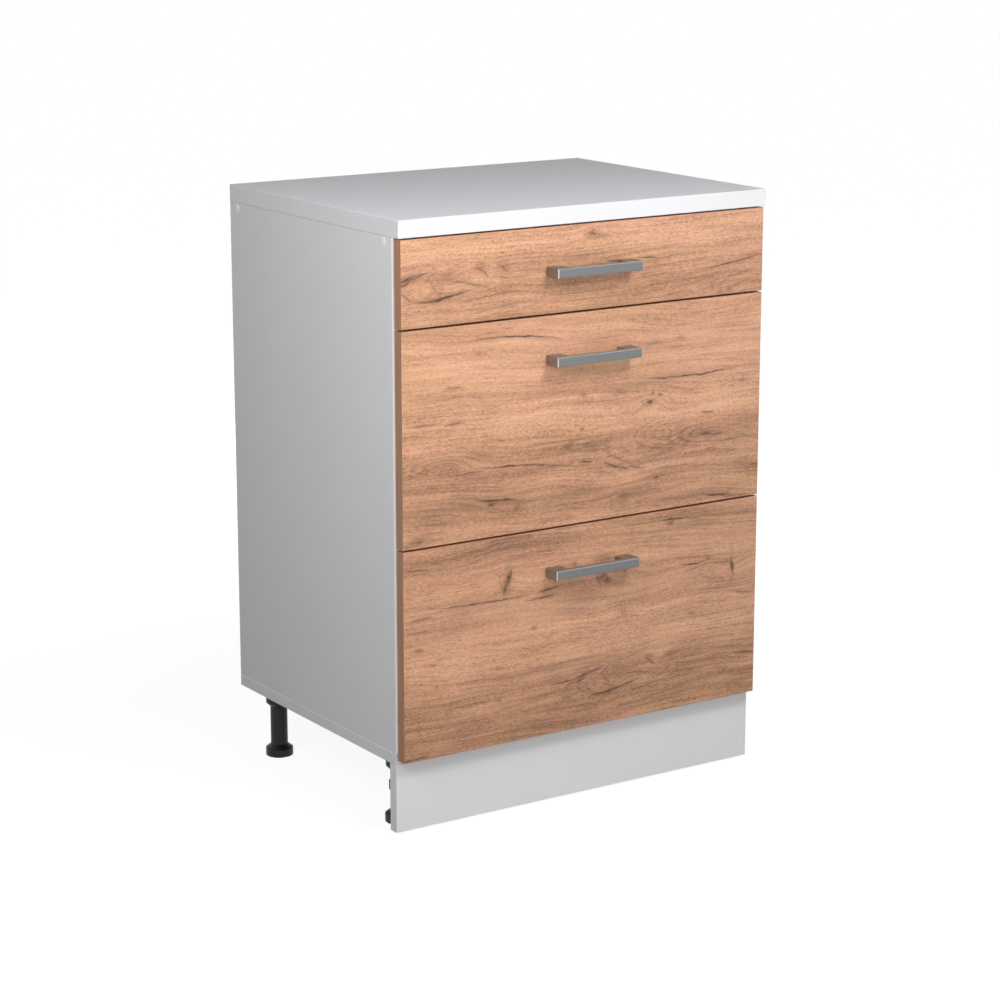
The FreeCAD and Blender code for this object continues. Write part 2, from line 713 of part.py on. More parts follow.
def cam_heights(drawer):
    return CAM_LOW, drawer.box_tall - CAM_DROP


def box_screw_heights(drawer):
    return BOX_SCREW_LOW, drawer.box_tall - BOX_SCREW_DROP


def drawer_front(drawer):
    front_width = s.cabinet_width - s.side_reveal * 2
    half = front_width / 2
    body = board(f"{drawer.name}_drawer_front", (half * -1, face_line, drawer.front_low),
                 (front_width, s.front_thick, drawer.front_tall))
    bolt_places = [(half + box_side_middle * sense, s.box_lift + height)
                   for sense in SIDES.values() for height in cam_heights(drawer)]
    drill(body, "bolt_holes", "XZ_Plane", s.front_thick, "-Y", s.bolt_bite + 0.5, bolt_hole, bolt_places)
    handle_places = [(half + s.handle_holes / 2 * sense, drawer.front_tall - s.handle_drop)
                     for sense in SIDES.values()]
    drill(body, "handle_holes", "XZ_Plane", s.front_thick, "-Y", s.front_thick, handle_screw_hole,
          handle_places)
    round_edges(body, "face_edges", "Fillet", s.edge_round, ends(lambda point: near(point.y, 0)))


def drawer_handle(drawer):
    """A bracket handle: a flat bar on two posts, bevelled round its front face."""
    body = new_body(f"{drawer.name}_drawer_handle", 0, face_line, drawer.front_top - s.handle_drop)
    half = s.handle_length / 2
    post_in = half - s.handle_post
    bar_back = s.handle_bar - s.handle_reach
    outline = new_sketch(body, "outline", "XY_Plane", s.handle_tall / -2)
    add_polygon(outline, [
        (half * -1, 0), (half * -1, s.handle_reach * -1), (half, s.handle_reach * -1), (half, 0),
        (post_in, 0), (post_in, bar_back), (post_in * -1, bar_back), (post_in * -1, 0),
    ])
    new_pad(body, "bracket", outline, s.handle_tall, "+Z")
    drill(body, "screw_holes", "XZ_Plane", 0, "-Y", s.handle_screw_length - s.front_thick + 2,
          handle_screw_hole, [(s.handle_holes / 2 * sense, 0) for sense in SIDES.values()])
    round_edges(body, "face_bevel", "Chamfer", s.handle_bevel,
                ends(lambda point: near(point.y, s.handle_reach * -1)))


def drawer_side(drawer, side):
    """A box side: groove for the bottom, cam and bolt holes in front, screw holes behind."""
    left = side == "left"
    corner_x = box_half * -1 if left else box_inner_half
    body = board(f"{drawer.name}_drawer_side_{side}", (corner_x, box_front, drawer.box_low),
                 (s.board_thick, s.box_length, drawer.box_tall))
    outer_x, inner_x = (0, s.board_thick) if left else (s.board_thick, 0)
    inwards, outwards = ("+X", "-X") if left else ("-X", "+X")

    groove = new_sketch(body, "groove_outline", "XZ_Plane")
    groove_x = s.board_thick - s.groove_depth if left else 0
    add_rectangle(groove, groove_x, s.bottom_rise, s.groove_depth, s.groove_width)
    new_pocket(body, "groove", groove, s.box_length, "+Y")

    drill(body, "cam_holes", "YZ_Plane", inner_x, outwards, s.cam_thick + 0.2, cam_hole,
          [(s.cam_inset, height) for height in cam_heights(drawer)])
    drill(body, "bolt_holes", "XZ_Plane", 0, "+Y", s.cam_inset, bolt_hole,
          [(s.board_thick / 2, height) for height in cam_heights(drawer)])
    back_places = [(s.box_length - s.board_thick / 2, height) for height in box_screw_heights(drawer)]
    drill(body, "back_holes", "YZ_Plane", outer_x, inwards, s.board_thick, confirmat_hole, back_places)
    drill(body, "back_recesses", "YZ_Plane", outer_x, inwards, s.confirmat_sink + s.hole_play,
          confirmat_recess, back_places)
    drill(body, "runner_holes", "YZ_Plane", outer_x, inwards, blind_hole, screw_hole,
          [(along, s.runner_rise) for along in RUNNER_SCREWS])
    round_edges(body, "top_edges", "Fillet", s.edge_round,
                ends(lambda point: near(point.z, drawer.box_tall)))


def drawer_back(drawer):
    """The box back stands on the drawer bottom, between the box sides."""
    rise = s.bottom_rise + s.groove_width
    back_width = box_inner_half * 2
    body = board(f"{drawer.name}_drawer_back",
                 (box_inner_half * -1, box_front + s.box_length - s.board_thick, drawer.box_low + rise),
                 (back_width, s.board_thick, drawer.box_tall - rise))
    end_places = [(s.board_thick / 2, height - rise) for height in box_screw_heights(drawer)]
    drill(body, "left_holes", "YZ_Plane", 0, "+X", confirmat_bite, confirmat_hole, end_places)
    drill(body, "right_holes", "YZ_Plane", back_width, "-X", confirmat_bite, confirmat_hole, end_places)
    drill(body, "bottom_holes", "XY_Plane", 0, "+Z", blind_hole, screw_hole,
          [(box_inner_half + x, s.board_thick / 2) for x in BOX_BOTTOM_SCREWS])


bottom_sheet_low = s.bottom_rise + s.groove_width - s.hdf_thick


def drawer_bottom(drawer):
    """Fibreboard in the grooves of the box sides, screwed up into the box back."""
    half = box_inner_half + s.groove_depth - s.hdf_play
    body = board(f"{drawer.name}_drawer_bottom", (half * -1, box_front, drawer.box_low + bottom_sheet_low),
                 (half * 2, s.box_length, s.hdf_thick))
    drill(body, "back_holes", "XY_Plane", 0, "+Z", s.hdf_thick, screw_hole,
          [(half + x, s.box_length - s.board_thick / 2) for x in BOX_BOTTOM_SCREWS])


def channel(label, x, y, z, sense, outline, size, hole_radius, hole_places, web):
    """A rolled runner member: an outline (depth from the side panel, height) drawn out along Y."""
    body = new_body(label, x, y, z)
    section = new_sketch(body, "section", "XZ_Plane")
    add_polygon(section, [(length(depth) * -sense, height) for depth, height in outline])
    new_pad(body, "member", section, size, "+Y")
    web_start, web_end = (length(face) * -sense for face in web)
    direction = "+X" if web_end.value > web_start.value else "-X"
    drill(body, "holes", "YZ_Plane", web_start, direction, s.runner_steel, hole_radius, hole_places)
    web_depth, half_tall = (abs(value.value) for value in outline[0])

    def outer_corner(point):
        return near(abs(point.x), web_depth) and near(abs(point.z), half_tall)

    def bend_line(start, end):
        return outer_corner(start) and outer_corner(end) and near(start.z, end.z)

    round_edges(body, "bends", "Fillet", s.runner_steel * 0.9, bend_line)


ACCESS_HOLE_RADIUS = 5
MOUNTING_HOLE_PLAY = 0.25


def runner(drawer, side):
    """One ball runner: outer member on the side panel, middle member, inner member on the box."""
    sense = SIDES[side]
    x = inner_half * sense
    steel = s.runner_steel
    name = f"{drawer.name}_runner"
    hole = s.screw_radius + MOUNTING_HOLE_PLAY
    heights = length(0)

    out, reach, lip = s.outer_half, s.outer_reach, s.runner_lip
    channel(f"{name}_outer_{side}", x, front_line + s.runner_setback, drawer.runner_mid, sense, [
        (length(0), -out), (reach, -out), (reach, steel + lip - out), (reach - steel, steel + lip - out),
        (reach - steel, steel - out), (steel, steel - out), (steel, out - steel),
        (reach - steel, out - steel), (reach - steel, out - steel - lip), (reach, out - steel - lip),
        (reach, out), (length(0), out),
    ], s.runner_length, hole, [(along, heights) for along in RUNNER_SCREWS], (0, steel))

    mid, start, reach = s.middle_half, s.middle_start, s.middle_reach
    shift = s.runner_setback - s.middle_setback
    channel(f"{name}_middle_{side}", x, front_line + s.middle_setback, drawer.runner_mid, sense, [
        (start, -mid), (reach, -mid), (reach, steel - mid), (start + steel, steel - mid),
        (start + steel, mid - steel), (reach, mid - steel), (reach, mid), (start, mid),
    ], s.middle_length, length(ACCESS_HOLE_RADIUS), [(shift + along, heights) for along in RUNNER_SCREWS],
        (start, start + steel))

    inner, start, end = s.inner_half, s.inner_start, s.runner_thick
    channel(f"{name}_inner_{side}", x, box_front, drawer.runner_mid, sense, [
        (end, -inner), (start, -inner), (start, steel - inner), (end - steel, steel - inner),
        (end - steel, inner - steel), (start, inner - steel), (start, inner), (end, inner),
    ], s.runner_length, hole, [(along, heights) for along in RUNNER_SCREWS], (end - steel, end))


def drawer_fasteners(drawer):
    """Every screw, bolt and cam of one drawer."""
    prefix = f"{drawer.name}_drawer"
    pieces = []
    for side, sense in SIDES.items():
        outwards = "+X" if sense > 0 else "-X"
        inwards = "-X" if sense > 0 else "+X"
        for number, height in enumerate(cam_heights(drawer)):
            z = drawer.box_low + height
            cam_x = (box_inner_half + 0.1) * sense
            pieces.append(rod(f"{prefix}_cam_{side}_{number}", (cam_x, box_front + s.cam_inset, z),
                              outwards, s.cam_radius, s.cam_thick))
            bolt_length = s.bolt_bite + s.cam_inset - s.cam_radius
            pieces.append(rod(f"{prefix}_bolt_{side}_{number}",
                              (box_side_middle * sense, box_front - s.bolt_bite, z),
                              "+Y", s.bolt_radius, bolt_length))
        for number, height in enumerate(box_screw_heights(drawer)):
            seat = (box_half * sense, box_front + s.box_length - s.board_thick / 2, drawer.box_low + height)
            pieces.append(sunk_screw(f"{prefix}_box_screw_{side}_{number}", seat, inwards))
        for number, along in enumerate(RUNNER_SCREWS):
            seat = ((box_half + s.runner_steel) * sense, box_front + along, drawer.runner_mid)
            pieces.append(pan_screw(f"{prefix}_runner_screw_{side}_{number}", seat, inwards, RUNNER_SCREW))
        handle_seat = (s.handle_holes / 2 * sense, box_front, drawer.front_top - s.handle_drop)
        pieces.append(pan_screw(f"{prefix}_handle_screw_{side}", handle_seat, "-Y", HANDLE_SCREW))
    for number, x in enumerate(BOX_BOTTOM_SCREWS):
        seat = (x, box_front + s.box_length - s.board_thick / 2, drawer.box_low + bottom_sheet_low)
        pieces.append(pan_screw(f"{prefix}_bottom_screw_{number}", seat, "+Z", SMALL_SCREW))
    group(f"{prefix}_fasteners", pieces)


# ---- fasteners of the carcass -----------------------------------------------------------------

def confirmat_screws():
    """Connecting screws: sides to rails, and bottom panel to sides."""
    pieces = []
    for side, sense in SIDES.items():
        inwards = "-X" if sense > 0 else "+X"
        for end, along in zip(ENDS, rail_screw_places):
            seat = (half_width * sense, front_line + along, carcass_floor + rail_screw_height)
            pieces.append(sunk_screw(f"rail_confirmat_{end}_{side}", seat, inwards))
        for end, along in zip(ENDS, bottom_screw_places):
            seat = ((half_width - s.board_thick / 2) * sense, front_line + along, s.leg_height)
            pieces.append(sunk_screw(f"bottom_confirmat_{end}_{side}", seat, "+Z"))
    group("confirmat_screws", pieces)


def screw_cover_caps():
    """Round caps with a rounded rim over the rails' connecting screws."""
    pieces = []
    for side, sense in SIDES.items():
        outwards = "+X" if sense > 0 else "-X"
        for end, along in zip(ENDS, rail_screw_places):
            name = f"cap_{end}_{side}"
            seat = (half_width * sense, front_line + along, carcass_floor + rail_screw_height)
            disc = rod(f"{name}_disc", seat, outwards, s.cap_radius, s.cap_thick)
            disc.recompute()
            rim_x = (half_width + s.cap_thick) * sense
            rims = [number for number, edge in enumerate(disc.Shape.Edges, start=1)
                    if near(edge.BoundBox.XMin, rim_x) and near(edge.BoundBox.XMax, rim_x)]
            cap = doc.addObject("Part::Fillet", name)
            cap.Base = disc
            cap.Edges = [(number, s.cap_round.value, s.cap_round.value) for number in rims]
            pieces.append(cap)
    group("screw_cover_caps", pieces)


def worktop_screws():
    pieces = []
    for end in ENDS:
        y = rear_line - s.rail_width / 2 if end == "rear" else front_line + s.rail_width / 2
        for number, x in enumerate(worktop_screw_places):
            name = f"worktop_screw_{end}_{number}"
            pieces.append(pan_screw(name, (x, y, rail_under), "+Z", WORKTOP_SCREW))
    group("worktop_screws", pieces)


def carcass_small_screws():
    """Small screws of the leg plates, the runners' outer members and the plinth clips."""
    pieces = []
    plate_under = s.leg_height - s.leg_plate_thick
    for label, x, y in leg_centres():
        for number, (screw_x, screw_y) in enumerate(leg_screw_centres(x, y)):
            pieces.append(pan_screw(f"leg_screw_{label}_{number}", (screw_x, screw_y, plate_under), "+Z",
                                    LEG_SCREW))
    for drawer in DRAWERS:
        for side, sense in SIDES.items():
            outwards = "+X" if sense > 0 else "-X"
            for number, along in enumerate(runner_screw_places):
                seat = ((inner_half - s.runner_steel) * sense, front_line + along, drawer.runner_mid)
                pieces.append(pan_screw(f"runner_screw_{drawer.name}_{side}_{number}", seat, outwards,
                                        RUNNER_SCREW))
    for number, (x, z) in enumerate(clip_screw_centres()):
        seat = (x, plinth_back + s.clip_plate_thick, z)
        pieces.append(pan_screw(f"clip_screw_{number}", seat, "-Y", LEG_SCREW))
    group("carcass_small_screws", pieces)


# ---- the assembly -----------------------------------------------------------------------------

worktop()
for side_name in SIDES:
    side_panel(side_name)
bottom_panel()
for end_name in ENDS:
    top_rail(end_name)
back_panel()
plinth()
for leg_name, leg_x, leg_y in leg_centres():
    leg_column(f"leg_{leg_name}", leg_x, leg_y)
    leg_foot(f"foot_{leg_name}", leg_x, leg_y)
confirmat_screws()
screw_cover_caps()
worktop_screws()
carcass_small_screws()
for drawer_item in DRAWERS:
    drawer_front(drawer_item)
    drawer_handle(drawer_item)
    drawer_back(drawer_item)
    drawer_bottom(drawer_item)
    for side_name in SIDES:
        drawer_side(drawer_item, side_name)
        runner(drawer_item, side_name)
    drawer_fasteners(drawer_item)

doc.recompute()

# Every object has to be sound and every pocket has to have cut something before anything is written.
faults = [f"{item.Label}: {item.State}" for item in doc.Objects
          if "Invalid" in item.State or "Error" in item.State]
for item in doc.Objects:
    if item.TypeId == "PartDesign::Pocket":
        if item.Shape.Volume > item.BaseFeature.Shape.Volume - 0.01:
            faults.append(f"{item.Label}: cuts nothing")
for part in parts:
    if part.Shape.isNull() or not part.Shape.isValid() or not part.Shape.Solids:
        faults.append(f"{part.Label}: shape isn't a valid solid")
if faults:
    raise RuntimeError("; ".join(faults))

os.makedirs("parts", exist_ok=True)
for part in parts:
    part.Shape.exportStep(f"parts/{part.Label}.step")
print(f"{len(parts)} nodes, {sum(len(part.Shape.Solids) for part in parts)} solids")
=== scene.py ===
from functools import reduce
import math
import random

import bmesh
import bpy
from mathutils import Matrix, Vector


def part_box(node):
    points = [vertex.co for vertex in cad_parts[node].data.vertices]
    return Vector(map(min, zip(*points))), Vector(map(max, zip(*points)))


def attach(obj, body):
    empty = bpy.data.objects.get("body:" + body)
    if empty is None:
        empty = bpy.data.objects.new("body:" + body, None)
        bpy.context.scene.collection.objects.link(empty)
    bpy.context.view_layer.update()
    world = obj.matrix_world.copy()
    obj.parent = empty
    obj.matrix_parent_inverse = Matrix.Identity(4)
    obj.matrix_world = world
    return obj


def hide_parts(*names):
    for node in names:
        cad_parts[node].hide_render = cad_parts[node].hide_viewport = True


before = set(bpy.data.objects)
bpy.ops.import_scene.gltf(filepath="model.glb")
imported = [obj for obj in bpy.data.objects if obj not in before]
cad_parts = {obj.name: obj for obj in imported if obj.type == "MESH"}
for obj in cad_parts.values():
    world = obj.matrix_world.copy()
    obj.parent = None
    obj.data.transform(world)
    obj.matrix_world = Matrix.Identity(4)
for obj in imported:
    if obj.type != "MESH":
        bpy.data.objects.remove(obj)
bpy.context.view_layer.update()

MM = 0.001
DRAWERS = ("top", "middle", "bottom")
SIDES = {"left": -1, "right": 1}


# ---- short ways to write shader nodes ----

# Nearly all of a noise's values lie between these two.
NOISE_LOW = 0.3
NOISE_HIGH = 0.7


class Tree:
    """Adds nodes to one node tree; every call gives back the socket that the next call reads."""

    def __init__(self, tree):
        self.nodes = tree.nodes
        self.links = tree.links

    def node(self, kind, inputs=None, **settings):
        made = self.nodes.new(kind)
        for name, value in settings.items():
            setattr(made, name, value)
        for name, value in (inputs or {}).items():
            self.feed(made.inputs[name], value)
        return made

    def feed(self, socket, value):
        if isinstance(value, bpy.types.NodeSocket):
            self.links.new(value, socket)
        else:
            socket.default_value = value

    def math(self, operation, a, b=0.0, clamp=False):
        return self.node("ShaderNodeMath", {0: a, 1: b}, operation=operation, use_clamp=clamp).outputs[0]

    def plus(self, a, b):
        return self.math("ADD", a, b)

    def minus(self, a, b, clamp=False):
        return self.math("SUBTRACT", a, b, clamp)

    def times(self, a, b, clamp=False):
        return self.math("MULTIPLY", a, b, clamp)

    def over(self, a, b):
        return self.math("DIVIDE", a, b)

    def larger(self, a, b):
        return self.math("MAXIMUM", a, b)

    def fold(self, operation, values):
        """One value out of several, by the same operation between each two."""
        return reduce(lambda a, b: self.math(operation, a, b), values)

    def swing(self, noise, amount):
        """A noise turned into a change round zero."""
        return self.times(self.minus(noise, 0.5), amount)

    def vector(self, operation, a, b=(0.0, 0.0, 0.0)):
        made = self.node("ShaderNodeVectorMath", {0: a, 1: b}, operation=operation)
        return made.outputs["Value" if operation in ("DOT_PRODUCT", "LENGTH") else "Vector"]

    def split(self, vector):
        return self.node("ShaderNodeSeparateXYZ", {0: vector}).outputs

    def join(self, x=0.0, y=0.0, z=0.0):
        return self.node("ShaderNodeCombineXYZ", {0: x, 1: y, 2: z}).outputs[0]

    def noise(self, vector, detail=2.0, roughness=0.5, distortion=0.0, scale=1.0):
        inputs = {"Vector": vector, "Scale": scale, "Detail": detail, "Roughness": roughness,
                  "Distortion": distortion}
        return self.node("ShaderNodeTexNoise", inputs).outputs["Fac"]

    def remap(self, value, low, high, to_low=0.0, to_high=1.0, smooth=False):
        inputs = {"Value": value, "From Min": low, "From Max": high, "To Min": to_low, "To Max": to_high}
        course = "SMOOTHSTEP" if smooth else "LINEAR"
        return self.node("ShaderNodeMapRange", inputs, interpolation_type=course).outputs["Result"]

    def between(self, noise, low, high):
        """A number that a noise moves from low to high."""
        return self.remap(noise, NOISE_LOW, NOISE_HIGH, low, high)

    def ramp(self, value, stops):
        made = self.node("ShaderNodeValToRGB", {"Fac": value})
        elements = made.color_ramp.elements
        for number, (place, colour) in enumerate(stops):
            element = elements[number] if number < len(elements) else elements.new(place)
            element.position = place
            element.color = (*colour, 1.0)
        return made.outputs["Color"]

    def tones(self, noise, low, high):
        """A colour that a noise moves from low to high."""
        return self.ramp(noise, [(NOISE_LOW, low), (NOISE_HIGH, high)])

    def mix(self, amount, a, b, blend="MIX"):
        made = self.node("ShaderNodeMix", {"Factor": amount}, data_type="RGBA", blend_type=blend)
        for name, colour in (("A", a), ("B", b)):
            plain = not isinstance(colour, bpy.types.NodeSocket)
            self.feed(made.inputs[name], (*colour, 1.0) if plain else colour)
        return made.outputs["Result"]

    def place_mm(self):
        """The point on the object, in millimetres of the object's own frame."""
        found = self.node("ShaderNodeTexCoord").outputs["Object"]
        return self.vector("MULTIPLY", found, (1000.0, 1000.0, 1000.0))

    def normal(self):
        return self.node("ShaderNodeTexCoord").outputs["Normal"]

    def bump(self, height, strength, distance):
        inputs = {"Height": height, "Strength": strength, "Distance": distance}
        return self.node("ShaderNodeBump", inputs).outputs["Normal"]


def cleared(data):
    """Empties the node tree of a material or world, and gives it."""
    data.use_nodes = True
    data.node_tree.nodes.clear()
    return data.node_tree


class Finish(Tree):
    """A material with one Principled shader; constants go straight to the shader's sockets."""

    def __init__(self, name, **constants):
        self.material = bpy.data.materials.new(name)
        super().__init__(cleared(self.material))
        self.shader = self.node("ShaderNodeBsdfPrincipled")
        output = self.node("ShaderNodeOutputMaterial")
        self.links.new(self.shader.outputs["BSDF"], output.inputs["Surface"])
        for socket, value in constants.items():
            self.shader.inputs[socket.replace("_", " ")].default_value = value

    def coat(self, relief=None, strength=0.0, distance=0.0, **inputs):
        """Feeds the shader's sockets, with a bump where there is a relief; gives the material."""
        for socket, value in inputs.items():
            self.feed(self.shader.inputs[socket.replace("_", " ")], value)
        if relief is not None:
            self.feed(self.shader.inputs["Normal"], self.bump(relief, strength, distance))
        return self.material


def new_group(name, inputs, outputs):
    """A node group with named inputs; gives its tree, a writer for it, its inputs and its outputs."""
    tree = bpy.data.node_groups.new(name, "ShaderNodeTree")
    for label, kind in inputs.items():
        tree.interface.new_socket(label, in_out="INPUT", socket_type=f"NodeSocket{kind}")
    for label in outputs:
        tree.interface.new_socket(label, in_out="OUTPUT", socket_type="NodeSocketFloat")
    t = Tree(tree)
    return tree, t, t.node("NodeGroupInput").outputs, t.node("NodeGroupOutput").inputs


# ---- oak look laminate ----

OVAL = {"Point": "Vector", "Centre": "Vector", "Radius": "Vector"}
CRACK_LINE = {"Point": "Vector", "Centre": "Vector", "Half length": "Float", "Half width": "Float",
              "Slope": "Float", "Bend": "Float"}
CRACK_FADE = 0.75
CRACK_NARROWING = 0.6
CRACK_BORDER = 4.5
NO_WIDTH = 0.001
RING_PEAK = 0.6
RING_SHARPNESS = 3.0


def from_centre(t, given):
    """The way from an oval's centre, as a share of its radii."""
    return t.vector("DIVIDE", t.vector("SUBTRACT", given["Point"], given["Centre"]), given["Radius"])


def spot_group():
    """A soft oval spot: 1 at its centre, fading like a bell curve."""
    tree, t, given, result = new_group("oval spot", OVAL, ["Fall"])
    away = from_centre(t, given)
    squared = t.vector("DOT_PRODUCT", away, away)
    t.feed(result["Fall"], t.math("POWER", math.e, t.times(squared, -1.0)))
    return tree


def crack_group():
    """A dark line along the grain: a shallow arc, thickest at its middle, with a soft brown border."""
    tree, t, given, result = new_group("grain crack", CRACK_LINE, ["Core", "Border"])
    away = t.split(t.vector("SUBTRACT", given["Point"], given["Centre"]))
    along = t.over(away["X"], given["Half length"])
    taper = t.math("POWER", t.larger(t.minus(1.0, t.times(along, along)), 0.0), CRACK_FADE)
    leaning = t.times(away["X"], given["Slope"])
    bending = t.times(t.times(away["X"], away["X"]), given["Bend"])
    across = t.math("ABSOLUTE", t.minus(away["Z"], t.plus(leaning, bending)))
    wide = t.times(t.math("POWER", taper, CRACK_NARROWING), given["Half width"])
    for name, spread in (("Core", 1.0), ("Border", CRACK_BORDER)):
        reach = t.plus(t.times(wide, spread), NO_WIDTH)
        line = t.minus(1.0, t.over(across, reach), clamp=True)
        t.feed(result[name], t.times(line, taper))
    return tree


def ring_group():
    """Nested oval lines round a point, strongest on the side that the facing direction names."""
    inputs = {**OVAL, "Facing": "Vector", "Count": "Float"}
    tree, t, given, result = new_group("nested ovals", inputs, ["Line"])
    away = from_centre(t, given)
    distance = t.vector("LENGTH", away)
    side = t.vector("DOT_PRODUCT", t.vector("NORMALIZE", away), given["Facing"])
    step = t.math("FRACT", t.times(distance, given["Count"]))
    from_peak = t.math("ABSOLUTE", t.minus(step, RING_PEAK))
    peak = t.minus(1.0, t.times(from_peak, RING_SHARPNESS), clamp=True)
    inside = t.times(t.remap(distance, 0.12, 0.35), t.remap(distance, 1.0, 0.8))
    window = t.remap(side, -0.35, 0.45)
    t.feed(result["Line"], t.times(peak, t.times(inside, window)))
    return tree


SPOT = spot_group()
CRACK = crack_group()
RING = ring_group()

# The decor's figure on each front, in mm of the object's frame. A crack is x, z of its middle, half length,
# slope, bend, half width and depth. An eye is x, z, radii and the push that curls the grain round it. A
# ring is x, z, radii, the direction it faces in degrees, the number of nested lines and their depth. Knots,
# stains and pale patches are x, z, radii and strength. The band of short pores is z, half height, strength.
SWIRL = {
    "cracks": [
        (-13, -2.5, 48, 0.13, 0.001, 2.6, 1), (-27, -5.5, 13, 0.04, 0, 2.6, 1),
        (-57, 27.5, 26, 0.3, -0.003, 1.9, 0.8), (-73, 19, 10, 0.33, 0, 1.8, 0.8),
        (-33, 27, 11, 0.75, -0.008, 2.2, 0.42), (-29, 11, 9, -1.2, 0.02, 3, 0.42),
        (-70, 2, 13, -0.65, 0, 2.4, 0.42), (26, 13.5, 38, -0.19, -0.0006, 2.2, 0.46),
        (47, 28, 11, -0.75, -0.02, 2.8, 0.55), (98, 16, 46, -0.05, 0.0014, 1.2, 0.5),
        (80, 30, 12, -0.55, 0, 3, 0.36), (118, 23, 32, -0.04, 0, 1, 0.4),
        (66, -5, 76, 0.07, -0.0009, 1.2, 0.5), (74, -22, 68, 0.11, -0.0007, 1.2, 0.45),
        (74, -31, 60, 0.1, -0.0005, 1, 0.4), (-104, 21, 25, 0.05, 0, 1.7, 0.9),
        (-71, 25.5, 18, 0.34, 0, 2.1, 0.9), (-89, 17, 13, 0.25, 0, 1.8, 0.6),
        (-96, -3, 14, -0.03, 0, 1.6, 0.5),
    ],
    "eyes": [(-42, 9, 22, 13, -10), (-6, 26, 26, 12, 10), (62, 30, 22, 10, 8)],
    "rings": [(-40, 9, 30, 20, 270, 2, 0.22), (46, 14, 60, 24, 300, 3, 0.12)],
    "knots": [],
    "stains": [
        (-9, 26, 14, 8, 0.75), (43, 33, 10, 5, 0.75), (80, 32, 10, 5, 0.6), (-119, 30, 15, 9, 0.5),
        (-64, 33, 18, 8, 0.4), (94, 34, 14, 4, 0.3),
    ],
    "pale": [(-42, 8, 17, 11, 0.14), (28, 5, 34, 6, 0.1), (46, 21, 16, 7, 0.08)],
}


def with_swirl(x, z, figure):
    """A figure with the swirl's features before its own, moved by x, z."""
    joined = dict(figure)
    for kind, features in SWIRL.items():
        joined[kind] = [(a + x, b + z, *rest) for a, b, *rest in features] + figure[kind]
    return joined


TOP_FIGURE = with_swirl(-219, 736, {
    "cracks": [
        (240, 741, 66, 0.135, 0.0005, 1.6, 0.9), (44, 759, 20, -0.05, 0, 2, 1),
        (98, 760, 20, -0.03, 0, 1.6, 0.9), (146, 707, 30, 0.09, 0, 1.1, 0.6),
        (188, 726, 44, 0.06, 0.0008, 1, 0.5), (250, 722, 40, 0.25, 0, 1.6, 0.3),
        (262, 712, 40, 0.3, 0, 1.6, 0.3), (-20, 772, 60, -0.02, 0, 2.2, 0.35),
        (-20, 722, 90, 0.01, 0, 1.4, 0.4), (20, 712, 110, 0, 0, 1.4, 0.4),
    ],
    "eyes": [(250, 716, 60, 16, -12), (-30, 716, 120, 14, 6), (6, 801, 16, 7, -7)],
    "rings": [(5, 801, 16, 9, 270, 2, 0.3), (262, 706, 60, 30, 150, 4, 0.14)],
    "knots": [(5, 801, 7, 4, 0.9), (18, 796, 9, 2.4, 0.4), (210, 712, 6, 4, 0.3)],
    "stains": [
        (240, 790, 46, 5, 0.45), (295, 784, 20, 3, 0.4), (170, 768, 60, 5, 0.3), (-40, 770, 80, 5, 0.3),
        (0, 700, 160, 6, 0.3),
    ],
    "pale": [(-200, 796, 120, 14, 0.08), (220, 750, 70, 8, 0.08)],
    "band": (792, 16, 1),
})
